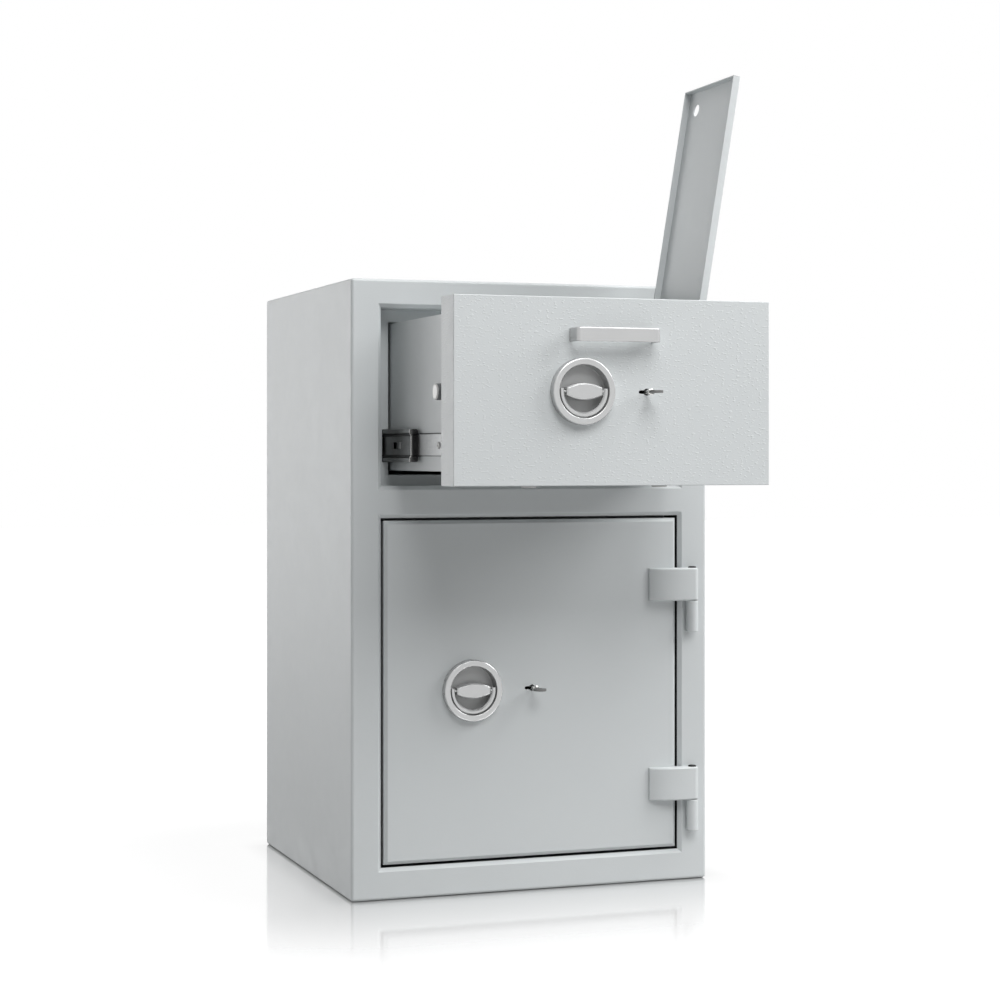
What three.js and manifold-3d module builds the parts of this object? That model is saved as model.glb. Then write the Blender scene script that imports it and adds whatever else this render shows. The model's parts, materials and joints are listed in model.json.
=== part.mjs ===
// Drop safe with a deposit drawer: a steel cabinet with a locked deposit drawer above a locked door.
// Millimetres, +X right, +Y towards the back, +Z up, origin at the middle of the cabinet's underside.
// It stands as photographed: drawer pulled out with its bolts thrown, deposit lid open, door shut.
import * as THREE from "three";
import { mergeVertices } from "three/addons/utils/BufferGeometryUtils.js";
import Module from "manifold-3d";

const wasm = await Module();
wasm.setup();

// Clearances, and how far a cutter runs past the face that it cuts
const seatGap = 0.3;
const runGap = 0.6;
const overrun = 3;

// Cabinet
const cabinetWidth = 500;
const cabinetDepth = 450;
const cabinetHeight = 800;
const shellWall = 5;
const shellEdge = 4;

// Front frame and its two bays
const stileWidth = 36;
const topRailHeight = 32;
const midRailHeight = 31.5;
const baseRailHeight = 36;
const drawerBayHeight = 240;
const revealBevel = 5;
const frameFace = 6;
const sleeveWall = 3;
const revealBehindPan = 1;
const flangeSheet = 3;
const sideFlange = 22.6;
const lowFlange = 14;
const topFlange = 16;

// Pans of the door and of the drawer front
const panDepth = 45;
const panFace = 5;
const panWall = 3;
const linerSheet = 3;
const doorGap = 3.4;
const doorBevel = 4.5;
const drawerSideGap = 3.6;
const drawerLowGap = 3.3;
const drawerTopGap = 1.3;
const drawerBevel = 1.2;

// Drawer box, its well and the place where it stands
const drawerTravel = 275;
const boxSideRoom = 62;
const boxBackRoom = 32.7;
const drawerBoxLift = 20;
const drawerBoxTopDrop = 18;
const boxSheet = 2;
const wellBehindPan = 45;
const wellLength = 146;
const topPlateDrop = 13.5;
const openingInset = 5;

// Deposit lid and its hinge
const lidLeftInset = 17.6;
const lidHeight = 10;
const lidSheet = 1.5;
const lidOpenDegrees = 99.4;
const lidAxisInset = 27.9;
const lidAxisStandoff = 3.5;
const lidBarrelRadius = 3;
const lidPinRadius = 1.5;
const lidEndInset = 5;
const lidStopRise = 6;
const liftHoleRadius = 8;
const liftHoleInset = 26;

// Two flaps in the floor of the well
const flapSideInset = 33;
const flapPivotInset = 6;
const flapBarrelRadius = 3;
const flapPinRadius = 1.6;
const flapEarHeight = 7;
const flapEarLength = 9;

// Ball slides and their brackets
const slideBehindFrame = 11;
const slideBackRoom = 35;
const slideThickness = 12.7;
const slideHeight = 45;
const slideSheet = 1.4;
const slideLip = 8;
const slideRise = 32;
const retainerLength = 4;
const retainerTongue = 16;
const bracketHeight = 50;
const bracketSheet = 2;

// Bay floor with its drop slot, and the anti-fishing baffle under it
const floorSheet = 4;
const slotMargin = 8;
const baffleSheet = 2;
const baffleRise = 40;
const baffleDrop = 55;
const baffleReach = 250;
const baffleBelowFloor = 115;

// Ring handles
const rimWidth = 8;
const roseHeight = 11;
const roseRound = 2.5;
const dishRadius = 32;
const dishDepth = 5;
const cupWall = 1.2;
const cupFloor = 2;
const gripEndGap = 2;
const gripEndHalfHeight = 4.6;
const gripMidHalfHeight = 10;
const gripProud = 12;
const gripDepth = 13;
const gripEdge = 1.4;
const hubRadius = 8;
const bailWidth = 5.3;
const bailRoom = 1.7;
const bailThickness = 6;
const bailPivotProud = 7;
const bailEndHeight = 3.6;
const bailPinRadius = 1.5;
const bailPinReach = 5;
const doorKnobShare = 0.2884;
const drawerKnobShare = 0.3929;

// Keys, keyholes and lock cases
const keyOffset = 85;
const keyholeRadius = 4.2;
const keySlotReach = 10.5;
const keySlotHeight = 4.2;
const keyStemRadius = 2.7;
const keyStemProud = 20;
const keyBowLength = 17;
const keyBowWidth = 17;
const keyBowThickness = 3;
const keyBowHoleRadius = 3.2;
const keyCollarRadius = 3.8;
const keyCollarProud = 11;
const keyCollarLength = 2;
const keyBitReach = 9.6;
const keyBitThickness = 3;
const keyBitLength = 13;
const keyBitBehindPan = 7;
const lockDepth = 28;
const lockLeft = 16;
const lockRight = 36;
const lockBelow = 22;
const lockAbove = 34;
const lockPlate = 2.5;
const chamberRadius = 12;
const lockBoltOffset = 23;
const lockBoltWidth = 10;
const lockBoltThickness = 8;
const lockBoltLength = 34;

// Boltwork
const boltTravel = 22;
const boltRadius = 10;
const boltLength = 51;
const boltBehindPan = 20;
const boltChamfer = 1.2;
const sideBoltEngage = 20.6;
const spindleRadius = 5;
const camRadius = 22;
const camThickness = 5;
const camPinRadius = 3.5;
const camPinPlay = 0.9;
const barSheet = 4;
const lowBarSheet = 3;
const barMargin = 4;
const barBelowLock = 1;
const notchDepth = 11;
const barBelowNotch = 11;
const notchPlay = 0.6;
const bottomBoltShare = 0.4727;
const bottomBoltEngage = 13.5;
const bottomBoltLength = 38;
const beamHeight = 8;
const beamDepth = 14;
const doorBoltEndInset = 72;
const doorBoltProud = 4.5;
const doorBarWidth = 16;
const boltBoxSideRoom = 11.4;
const boltBoxDepth = 45;
const boltBoxSheet = 2;
const boltBoxMargin = 18;
const dogBehindPan = 13;
const dogReach = 19;
const dogThickness = 10;
const dogEndInset = 57;

// Outside hinges of the door
const hingeAxisInset = 24.5;
const hingeRadius = 8;
const strapHeight = 44;
const knuckleHeight = 42;
const strapReach = 60.5;
const strapEndThickness = 3.4;
const hingePinRadius = 4;
const hingePinRecess = 5;
const upperStrapDrop = 75.5;
const lowerStrapRise = 117;
const knuckleFootWidth = 10;

// Pull handle of the drawer
const pullOffset = 39;
const pullWidth = 109;
const pullHeight = 17;
const pullDepth = 25;
const pullSheet = 3.2;
const pullRound = 9;
const pullDrop = 45.3;

// Facets of round pieces
const fineSides = 48;
const roundSides = 32;
const smallSides = 16;
const arcSteps = 8;

// Planes and edges that follow from the sizes above
const halfWidth = cabinetWidth / 2;
const front = -cabinetDepth / 2;
const back = cabinetDepth / 2;
const clearHalf = halfWidth - stileWidth - revealBevel;
const flangeHalf = clearHalf - sideFlange;
const doorBay = bay(baseRailHeight, cabinetHeight - topRailHeight - drawerBayHeight - midRailHeight);
const drawerBay = bay(doorBay.high + midRailHeight, cabinetHeight - topRailHeight);
const revealDepth = panDepth + revealBehindPan;
const frameBack = front + revealDepth + flangeSheet;
const drawerFace = front - drawerTravel;

const doorPan = {
  face: front,
  half: clearHalf - doorGap,
  low: doorBay.clearLow + doorGap,
  high: doorBay.clearHigh - doorGap,
  bevel: doorBevel,
};
const drawerPan = {
  face: drawerFace,
  half: clearHalf - drawerSideGap,
  low: drawerBay.clearLow + drawerLowGap,
  high: drawerBay.clearHigh - drawerTopGap,
  bevel: drawerBevel,
};
const doorLock = lockPlace(doorPan, doorKnobShare);
const drawerLock = lockPlace(drawerPan, drawerKnobShare);
const pullX = drawerLock.x + pullOffset;

const boxHalf = halfWidth - shellWall - boxSideRoom;
const boxInnerHalf = boxHalf - boxSheet - seatGap;
const boxFront = drawerFace + panDepth + seatGap;
const boxBack = back - shellWall - boxBackRoom - drawerTravel;
const boxLow = drawerBay.clearLow + drawerBoxLift;
const boxHigh = drawerBay.clearHigh - drawerBoxTopDrop;
const wellFront = drawerFace + panDepth + wellBehindPan;
const wellBack = wellFront + wellLength;
const topPlateHigh = boxHigh - topPlateDrop;
const topPlateLow = topPlateHigh - boxSheet;

const lidLow = topPlateHigh + seatGap;
const lidHigh = lidLow + lidHeight;
const lidAxis = { x: boxHalf - lidAxisInset, z: lidHigh - lidAxisStandoff };
const lidRight = lidAxis.x - lidAxisStandoff;
const lidLeft = lidLeftInset - boxHalf;
const lidOpenAngle = THREE.MathUtils.degToRad(lidOpenDegrees);
const lidKnuckleLength = (wellLength - 2 * lidEndInset) / 3;

const flapReach = boxHalf - flapSideInset;
const flapPivotHeight = boxLow + boxSheet + flapBarrelRadius;
const slideZ = boxLow + slideRise;
const outerSlide = {
  web: boxHalf + seatGap + slideThickness,
  mouth: boxHalf + seatGap + slideThickness - slideLip,
  half: slideHeight / 2,
};
const middleSlide = {
  web: outerSlide.web - slideSheet - runGap,
  mouth: outerSlide.mouth - slideSheet - runGap,
  half: outerSlide.half - slideSheet - seatGap,
};
const innerSlide = {
  web: boxHalf + seatGap,
  mouth: boxHalf + seatGap + slideThickness / 2,
  half: middleSlide.half - slideSheet - seatGap,
};
const slideFront = frameBack + slideBehindFrame;
const slideBack = back - shellWall - slideBackRoom;
const slideLength = slideBack - slideFront;

const bayFloorHigh = drawerBay.clearLow - sleeveWall - 2 * seatGap;
const boltBoxHalf = flangeHalf - boltBoxSideRoom;
const doorBoltReach = (doorPan.high - doorPan.low) / 2 - doorBoltEndInset;
const bottomBoltReach = boxHalf * bottomBoltShare;
const camRest = boltTravel / 2;
const camPinCircle = camRest * Math.SQRT2;
const barTopHigh = -lockBelow - barBelowLock;
const barTopLow = barTopHigh - notchDepth - barBelowNotch;
const hingeX = halfWidth - hingeAxisInset;
const hingeY = front - hingeRadius - seatGap;
const upperStrapTop = doorBay.high - upperStrapDrop;
const lowerStrapTop = doorBay.low + lowerStrapRise;

const roseRadius = dishRadius + rimWidth;
const bailOuterRadius = dishRadius - bailRoom;
const bailInnerRadius = bailOuterRadius - bailWidth;
const gripHalfLength = bailInnerRadius - gripEndGap;

function bay(low, high) {
  return { low, high, clearLow: low + revealBevel, clearHigh: high - revealBevel };
}

// The knob stands at a share of the pan's width from its left edge
function lockPlace(shape, share) {
  return { face: shape.face, x: shape.half * (2 * share - 1), z: (shape.low + shape.high) / 2 };
}

function boltY(lock) {
  return lock.face + panDepth + boltBehindPan;
}

// Solids from three.js geometry
function toSolid(geometry) {
  geometry.deleteAttribute("normal");
  geometry.deleteAttribute("uv");
  const merged = mergeVertices(geometry);
  return new wasm.Manifold(new wasm.Mesh({
    numProp: 3,
    vertProperties: new Float32Array(merged.attributes.position.array),
    triVerts: new Uint32Array(merged.index.array),
  }));
}

function sorted(span) {
  return [Math.min(...span), Math.max(...span)];
}

function block(xSpan, ySpan, zSpan) {
  const [x, y, z] = [sorted(xSpan), sorted(ySpan), sorted(zSpan)];
  const geometry = new THREE.BoxGeometry(x[1] - x[0], y[1] - y[0], z[1] - z[0]);
  geometry.translate((x[0] + x[1]) / 2, (y[0] + y[1]) / 2, (z[0] + z[1]) / 2);
  return toSolid(geometry);
}

// A round bar along one axis; u and v are its place on the other two, in the order x, y, z
function rod(axis, radius, span, u, v, sides = roundSides) {
  const [low, high] = sorted(span);
  const geometry = new THREE.CylinderGeometry(radius, radius, high - low, sides);
  const middle = (low + high) / 2;
  if (axis === "x") {
    geometry.rotateZ(Math.PI / 2).translate(middle, u, v);
  } else if (axis === "y") {
    geometry.translate(u, middle, v);
  } else {
    geometry.rotateX(Math.PI / 2).translate(u, v, middle);
  }
  return toSolid(geometry);
}

// An outline drawn on (y, z), (x, z) or (x, y) and carried along the remaining axis
function extruded(outline, axis, span, edge = 0, edgeSteps = 1) {
  const [low, high] = sorted(span);
  const geometry = new THREE.ExtrudeGeometry(outline, {
    depth: high - low - 2 * edge,
    curveSegments: arcSteps,
    bevelEnabled: edge > 0,
    bevelThickness: edge,
    bevelSize: edge,
    bevelOffset: -edge,
    bevelSegments: edgeSteps,
  });
  if (axis === "y") {
    geometry.translate(0, 0, edge - high).rotateX(Math.PI / 2);
  } else {
    geometry.translate(0, 0, low + edge);
  }
  if (axis === "x") {
    geometry.applyMatrix4(new THREE.Matrix4().set(0, 0, 1, 0, 1, 0, 0, 0, 0, 1, 0, 0, 0, 0, 0, 1));
  }
  return toSolid(geometry);
}

// A closed profile of (radius, y) points turned about the Y axis, then moved to its centre
function turned(profile, x, y, z, sides = fineSides) {
  const points = THREE.ShapeUtils.isClockWise(profile) ? [...profile].reverse() : profile;
  const geometry = new THREE.LatheGeometry([...points, points[0]], sides);
  geometry.translate(x, y, z);
  return toSolid(geometry);
}

function rectangle(uSpan, vSpan) {
  const [u, v] = [sorted(uSpan), sorted(vSpan)];
  return polygon([[u[0], v[0]], [u[1], v[0]], [u[1], v[1]], [u[0], v[1]]]);
}

function polygon(points) {
  return new THREE.Shape(points.map(([u, v]) => new THREE.Vector2(u, v)));
}

function join(first, ...rest) {
  return rest.reduce((solid, next) => solid.add(next), first);
}

function cut(first, ...tools) {
  return tools.reduce((solid, tool) => solid.subtract(tool), first);
}

function grown(span, amount) {
  const [low, high] = sorted(span);
  return [low - amount, high + amount];
}

// Materials
function metal(color, roughness, metalness) {
  return new THREE.MeshStandardMaterial({ color, roughness, metalness, flatShading: true });
}

const paint = metal("#cdd0d1", 0.55, 0);
const zincSteel = metal("#a9acae", 0.4, 0.8);
const satinMetal = metal("#c4c6c7", 0.35, 0.7);
const blackPlastic = metal("#1c1d1e", 0.6, 0);
const darkSteel = metal("#6f7375", 0.5, 0.7);
const keySteel = metal("#b9bcbe", 0.3, 0.9);

const safe = new THREE.Group();

function addPart(name, solid, material, parent = safe) {
  const surface = solid.getMesh();
  const geometry = new THREE.BufferGeometry();
  geometry.setAttribute("position", new THREE.BufferAttribute(new Float32Array(surface.vertProperties), 3));
  geometry.setIndex(new THREE.BufferAttribute(new Uint32Array(surface.triVerts), 1));
  geometry.computeVertexNormals();
  const mesh = new THREE.Mesh(geometry, material);
  mesh.name = name;
  parent.add(mesh);
}

// Cabinet
function outerCasing() {
  const outer = extruded(
    rectangle([-halfWidth, halfWidth], [0, cabinetHeight]), "y", [front, back], shellEdge, 2);
  const inside = block(
    [shellWall - halfWidth, halfWidth - shellWall],
    [front - overrun, back - shellWall],
    [shellWall, cabinetHeight - shellWall]);
  return cut(outer, inside);
}

function frontFrame() {
  const half = halfWidth - shellWall - seatGap;
  const height = [shellWall + seatGap, cabinetHeight - shellWall - seatGap];
  const sleeves = [doorBay, drawerBay].map((opening) => block(
    grown([-clearHalf, clearHalf], sleeveWall),
    [front, frameBack],
    grown([opening.clearLow, opening.clearHigh], sleeveWall)));
  const face = block([-half, half], [front, front + frameFace], height);
  return cut(join(face, ...sleeves), ...bayTool(doorBay), ...bayTool(drawerBay), ...slideNotches());
}

// Cuts the bevelled reveal of a bay and the smaller opening in the flange at its back
function bayTool(opening) {
  const mouthHalf = halfWidth - stileWidth;
  const mouth = extruded(
    rectangle([-mouthHalf, mouthHalf], [opening.low, opening.high]),
    "y", [front - 2 * revealBevel, front + revealBevel], revealBevel);
  const reveal = block(
    [-clearHalf, clearHalf], [front - overrun, front + revealDepth], [opening.clearLow, opening.clearHigh]);
  const flange = block(
    [-flangeHalf, flangeHalf],
    [front - overrun, frameBack + overrun],
    [opening.clearLow + lowFlange, opening.clearHigh - topFlange]);
  return [mouth, reveal, flange];
}

function slideNotches() {
  return [-1, 1].map((side) => block(
    [side * (flangeHalf - overrun), side * (middleSlide.web + runGap)],
    grown([front + revealDepth, frameBack], overrun / 2),
    grown([slideZ - middleSlide.half, slideZ + middleSlide.half], runGap)));
}

function bayFloor() {
  const half = halfWidth - shellWall - seatGap;
  const closedWell = [wellFront + drawerTravel, wellBack + drawerTravel];
  const height = [bayFloorHigh - floorSheet, bayFloorHigh];
  const plate = block([-half, half], [frameBack + seatGap, back - shellWall - seatGap], height);
  const slot = block([-flapReach - slotMargin, flapReach + slotMargin], grown(closedWell, slotMargin),
    grown(height, overrun));
  return cut(plate, slot);
}

// A sloping plate that hangs on the rear wall, so that nothing can be pulled back up through the slot
function dropBaffle() {
  const half = halfWidth - shellWall - seatGap;
  const rear = back - shellWall - seatGap;
  const high = bayFloorHigh - floorSheet - baffleBelowFloor;
  const profile = polygon([
    [rear, high + baffleRise],
    [rear - baffleSheet, high + baffleRise],
    [rear - baffleSheet, high],
    [rear - baffleReach, high - baffleDrop],
    [rear - baffleReach, high - baffleDrop - baffleSheet],
    [rear, high - baffleSheet],
  ]);
  return extruded(profile, "x", [-half, half]);
}

// Slides: a C section open towards the other member
function slideChannel(side, section, sheet, ySpan, half = section.half) {
  const inward = Math.sign(section.mouth - section.web);
  const height = [slideZ - half, slideZ + half];
  const full = block([side * section.web, side * section.mouth], ySpan, height);
  const hollow = block(
    [side * (section.web + inward * sheet), side * (section.mouth + inward * overrun)],
    grown(ySpan, overrun),
    grown(height, -sheet));
  return cut(full, hollow);
}

function slideBracket(side) {
  const section = {
    web: outerSlide.web + seatGap,
    mouth: halfWidth - shellWall - seatGap,
    half: bracketHeight / 2,
  };
  return slideChannel(side, section, bracketSheet, [slideFront, slideBack]);
}

function slideOuter(side) {
  return slideChannel(side, outerSlide, slideSheet, [slideFront, slideBack]);
}

function middleSlideFront() {
  return slideFront - drawerTravel / 2;
}

function slideMiddle(side) {
  const start = middleSlideFront();
  return slideChannel(side, middleSlide, slideSheet, [start, start + slideLength]);
}

// Plastic end of the middle member, with a tongue that lies in its channel
function slideRetainer(side) {
  const nose = middleSlideFront() - seatGap;
  const cap = slideChannel(side, middleSlide, slideSheet, [nose - retainerLength, nose]);
  const tongue = block(
    [side * (middleSlide.web - slideSheet - seatGap), side * (innerSlide.mouth + runGap)],
    [nose - retainerLength, nose + retainerTongue],
    grown([slideZ - middleSlide.half, slideZ + middleSlide.half], -slideSheet - seatGap));
  const bridge = block(
    [side * middleSlide.web, side * (innerSlide.mouth + runGap)],
    [nose - retainerLength, nose],
    grown([slideZ - middleSlide.half, slideZ + middleSlide.half], -slideSheet));
  return join(cap, bridge, tongue);
}

function slideInner(side) {
  const start = slideFront - drawerTravel;
  return slideChannel(side, innerSlide, slideSheet, [start, start + slideLength]);
}

// Pans of the door and the drawer front, and the liner that closes each
function pan(shape, lock) {
  const ySpan = [shape.face, shape.face + panDepth];
  const outline = rectangle([-shape.half, shape.half], [shape.low, shape.high]);
  const outer = extruded(outline, "y", ySpan, shape.bevel);
  const trim = block(
    grown([-shape.half, shape.half], overrun),
    [ySpan[1] - shape.bevel, ySpan[1] + overrun],
    grown([shape.low, shape.high], overrun));
  const rim = block(
    [-shape.half, shape.half], [ySpan[1] - shape.bevel - overrun, ySpan[1]], [shape.low, shape.high]);
  const hollow = block(
    grown([-shape.half, shape.half], -panWall),
    [shape.face + panFace, ySpan[1] + overrun],
    grown([shape.low, shape.high], -panWall));
  const cupRadius = dishRadius + cupWall + runGap;
  const cupHole = rod("y", cupRadius, grown(ySpan, overrun), lock.x, lock.z, fineSides);
  const keyHole = keyhole(lock, [ySpan[0], shape.face + panFace]);
  return cut(join(cut(outer, trim), rim), hollow, cupHole, keyHole);
}

function liner(shape, lock) {
  const ySpan = [shape.face + panDepth - linerSheet, shape.face + panDepth];
  const plate = block(
    grown([-shape.half, shape.half], -panWall - seatGap), ySpan,
    grown([shape.low, shape.high], -panWall - seatGap));
  const spindleHole = rod("y", spindleRadius + runGap, grown(ySpan, overrun), lock.x, lock.z);
  return cut(plate, spindleHole, keyhole(lock, ySpan));
}

function keyhole(lock, ySpan, radius = keyholeRadius, reach = keySlotReach, height = keySlotHeight) {
  const x = lock.x + keyOffset;
  const span = grown(ySpan, overrun);
  const round = rod("y", radius, span, x, lock.z, smallSides);
  const slot = block([x - reach, x], span, grown([lock.z, lock.z], height / 2));
  return join(round, slot);
}

// The lock's own keyway fits the key closely and carries its stem
function keyway(lock, ySpan) {
  const height = keyBitThickness + 2 * seatGap;
  return keyhole(lock, ySpan, keyStemRadius + seatGap, keyBitReach + seatGap, height);
}

// Drawer box
function drawerShell() {
  const height = [boxLow, boxHigh];
  const outer = block([-boxHalf, boxHalf], [boxFront, boxBack], height);
  const inside = block(
    [boxSheet - boxHalf, boxHalf - boxSheet],
    [boxFront - overrun, boxBack - boxSheet],
    [boxLow + boxSheet, boxHigh + overrun]);
  const flapOpening = block([-flapReach, flapReach], [wellFront, wellBack], grown(height, overrun));
  const sideHoles = rod(
    "x", boltRadius + runGap, grown([-boxHalf, boxHalf], overrun), boltY(drawerLock), drawerLock.z);
  const floorHoles = [-1, 1].map((side) => rod(
    "z", boltRadius + runGap, grown([boxLow, boxLow + boxSheet], overrun),
    side * bottomBoltReach, boltY(drawerLock)));
  return join(cut(outer, inside, flapOpening, sideHoles, ...floorHoles), ...flapEars());
}

function flapPivots() {
  return [wellFront + flapPivotInset, wellBack - flapPivotInset];
}

// Ears bent up from the floor carry the pins of the two flaps
function flapEars() {
  return flapPivots().flatMap((y) => [-1, 1].map((side) => {
    const ear = block(
      [side * flapReach, side * (flapReach + boxSheet)],
      [y - flapEarLength / 2, y + flapEarLength / 2],
      [boxLow, boxLow + boxSheet + flapEarHeight]);
    const across = grown([side * flapReach, side * (flapReach + boxSheet)], overrun);
    const hole = rod("x", flapPinRadius + seatGap, across, y, flapPivotHeight, smallSides);
    return cut(ear, hole);
  }));
}

function wellWall(ySpan) {
  return block([-boxInnerHalf, boxInnerHalf], ySpan, [boxLow + boxSheet + seatGap, topPlateLow - seatGap]);
}

function topPlate() {
  const height = [topPlateLow, topPlateHigh];
  const plate = block([-boxInnerHalf, boxInnerHalf], [boxFront, boxBack - boxSheet - seatGap], height);
  const mouth = block(
    grown([lidLeft, lidRight], -openingInset), grown([wellFront, wellBack], -openingInset),
    grown(height, overrun));
  return cut(plate, mouth);
}

function flap(pivot) {
  const inward = Math.sign((wellFront + wellBack) / 2 - pivot);
  const middle = (wellFront + wellBack) / 2;
  const reach = flapReach - runGap;
  const leaf = block([-reach, reach], [pivot, middle - inward * runGap / 2], [boxLow, boxLow + boxSheet]);
  const barrel = rod("x", flapBarrelRadius, [-reach, reach], pivot, flapPivotHeight, smallSides);
  const web = block(
    [-reach, reach], [pivot, pivot + inward * flapBarrelRadius], [boxLow + boxSheet / 2, flapPivotHeight]);
  const pinSpan = grown([-flapReach, flapReach], boxSheet);
  const pin = rod("x", flapPinRadius, pinSpan, pivot, flapPivotHeight, smallSides);
  return join(leaf, barrel, web, pin);
}

// Deposit lid, drawn shut; the group that holds it turns it open
function lid() {
  const outer = block([lidLeft, lidRight], [wellFront, wellBack], [lidLow, lidHigh]);
  const inside = block(
    grown([lidLeft, lidRight], -lidSheet), grown([wellFront, wellBack], -lidSheet),
    [lidLow - overrun, lidHigh - lidSheet]);
  const liftHole = rod("z", liftHoleRadius, grown([lidLow, lidHigh], overrun),
    lidLeft + liftHoleInset, wellBack - liftHoleInset);
  const knuckles = [lidKnuckleSpan(0), lidKnuckleSpan(2)].map((span) => join(
    rod("y", lidBarrelRadius, span, lidAxis.x, lidAxis.z, smallSides),
    block([lidRight - lidSheet / 2, lidAxis.x], span, [lidAxis.z, lidAxis.z + lidBarrelRadius])));
  return cut(join(cut(outer, inside, liftHole), ...knuckles), lidPinBore());
}

function lidPinBore() {
  const span = grown([wellFront, wellBack], overrun);
  return rod("y", lidPinRadius + seatGap, span, lidAxis.x, lidAxis.z, smallSides);
}

function lidKnuckleSpan(index) {
  const start = wellFront + lidEndInset + index * lidKnuckleLength;
  return [start + runGap / 2, start + lidKnuckleLength - runGap / 2];
}

// Fixed leaf of the lid hinge; its right edge turns up as the stop for the open lid
function lidHingeLeaf() {
  const length = [wellFront + lidEndInset, wellBack - lidEndInset];
  const low = topPlateHigh + seatGap;
  const stopX = lidAxis.x + seatGap
    + (lidAxisStandoff - lidStopRise * Math.cos(lidOpenAngle)) / Math.sin(lidOpenAngle);
  const plate = block([lidRight + runGap, stopX + lidSheet], length, [low, low + lidSheet]);
  const stop = block([stopX, stopX + lidSheet], length, [low, lidAxis.z + lidStopRise]);
  const barrel = rod("y", lidBarrelRadius, lidKnuckleSpan(1), lidAxis.x, lidAxis.z, smallSides);
  const webRight = lidAxis.x + lidBarrelRadius;
  const web = block([webRight - lidSheet, webRight], lidKnuckleSpan(1), [low, lidAxis.z]);
  return cut(join(plate, stop, barrel, web), lidPinBore());
}

function lidHingePin() {
  const span = [wellFront + lidEndInset, wellBack - lidEndInset];
  return rod("y", lidPinRadius, span, lidAxis.x, lidAxis.z, smallSides);
}

// Strap pull handle with rounded ends bent back to the drawer front
function pullHandle() {
  const half = pullWidth / 2;
  const rear = drawerFace - seatGap;
  const nose = drawerFace - pullDepth;
  const high = drawerPan.high - pullDrop + pullHeight / 2;
  const inner = half - pullSheet;
  const innerRound = pullRound - pullSheet;
  const outline = new THREE.Shape();
  outline.moveTo(pullX - half, rear);
  outline.lineTo(pullX - half, nose + pullRound);
  outline.absarc(pullX - half + pullRound, nose + pullRound, pullRound, Math.PI, 1.5 * Math.PI);
  outline.absarc(pullX + half - pullRound, nose + pullRound, pullRound, -Math.PI / 2, 0);
  outline.lineTo(pullX + half, rear);
  outline.lineTo(pullX + inner, rear);
  outline.lineTo(pullX + inner, nose + pullRound);
  outline.absarc(pullX + half - pullRound, nose + pullRound, innerRound, 0, -Math.PI / 2, true);
  outline.absarc(pullX - half + pullRound, nose + pullRound, innerRound, 1.5 * Math.PI, Math.PI, true);
  outline.lineTo(pullX - inner, rear);
  return extruded(outline, "z", [high - pullHeight, high], pullSheet / 4);
}

// Ring handle: a cup with a broad rim, set into the face plate
function rose(lock) {
  const cup = dishRadius + cupWall;
  const floor = dishDepth + cupFloor;
  const profile = [
    [roseRadius, -seatGap],
    [roseRadius, roseRound - roseHeight],
    [roseRadius - roseRound / 3, roseRound / 3 - roseHeight],
    [roseRadius - roseRound, -roseHeight],
    [dishRadius + cupWall, -roseHeight],
    [dishRadius, cupWall - roseHeight],
    [dishRadius, dishDepth],
    [spindleRadius + runGap, dishDepth],
    [spindleRadius + runGap, floor],
    [cup, floor],
    [cup, -seatGap],
  ].map(([radius, y]) => new THREE.Vector2(radius, y));
  return turned(profile, lock.x, lock.face, lock.z);
}

// Lens-shaped grip with bores for the bail's pins in its ends, on a round hub
function grip(lock) {
  const outline = new THREE.Shape();
  outline.moveTo(lock.x - gripHalfLength, lock.z - gripEndHalfHeight);
  outline.quadraticCurveTo(
    lock.x, lock.z - 2 * gripMidHalfHeight + gripEndHalfHeight,
    lock.x + gripHalfLength, lock.z - gripEndHalfHeight);
  outline.lineTo(lock.x + gripHalfLength, lock.z + gripEndHalfHeight);
  outline.quadraticCurveTo(
    lock.x, lock.z + 2 * gripMidHalfHeight - gripEndHalfHeight,
    lock.x - gripHalfLength, lock.z + gripEndHalfHeight);
  const nose = lock.face - gripProud;
  const bar = extruded(outline, "y", [nose, nose + gripDepth], gripEdge, 2);
  const hub = rod("y", hubRadius, [nose + gripDepth / 2, lock.face + dishDepth - seatGap], lock.x, lock.z);
  const bores = rod(
    "x", bailPinRadius + seatGap, grown([-gripHalfLength + lock.x, gripHalfLength + lock.x], overrun),
    lock.face - bailPivotProud, lock.z, smallSides);
  const core = block(
    grown([lock.x, lock.x], gripHalfLength - bailPinReach), [nose + gripEdge, nose + gripDepth - gripEdge],
    grown([lock.z, lock.z], gripEndHalfHeight - gripEdge));
  return join(cut(bar, bores), core, hub);
}

// Half-ring bail that hangs on two short pins in the ends of the grip
function bail(lock) {
  const outline = new THREE.Shape();
  outline.moveTo(lock.x - bailOuterRadius, lock.z + bailEndHeight);
  outline.lineTo(lock.x - bailOuterRadius, lock.z);
  outline.absarc(lock.x, lock.z, bailOuterRadius, Math.PI, 2 * Math.PI);
  outline.lineTo(lock.x + bailOuterRadius, lock.z + bailEndHeight);
  outline.lineTo(lock.x + bailInnerRadius, lock.z + bailEndHeight);
  outline.lineTo(lock.x + bailInnerRadius, lock.z);
  outline.absarc(lock.x, lock.z, bailInnerRadius, 2 * Math.PI, Math.PI, true);
  outline.lineTo(lock.x - bailInnerRadius, lock.z + bailEndHeight);
  const pivot = lock.face - bailPivotProud;
  const ring = extruded(outline, "y", [pivot - bailThickness / 2, pivot + bailThickness / 2], bailEdge());
  const pinStart = gripHalfLength - bailPinReach + seatGap;
  const pinEnd = bailInnerRadius + bailEdge() * 2;
  const pins = [-1, 1].map((side) => rod(
    "x", bailPinRadius, [lock.x + side * pinStart, lock.x + side * pinEnd], pivot, lock.z, smallSides));
  return join(ring, ...pins);
}

function bailEdge() {
  return bailThickness / 6;
}

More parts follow.
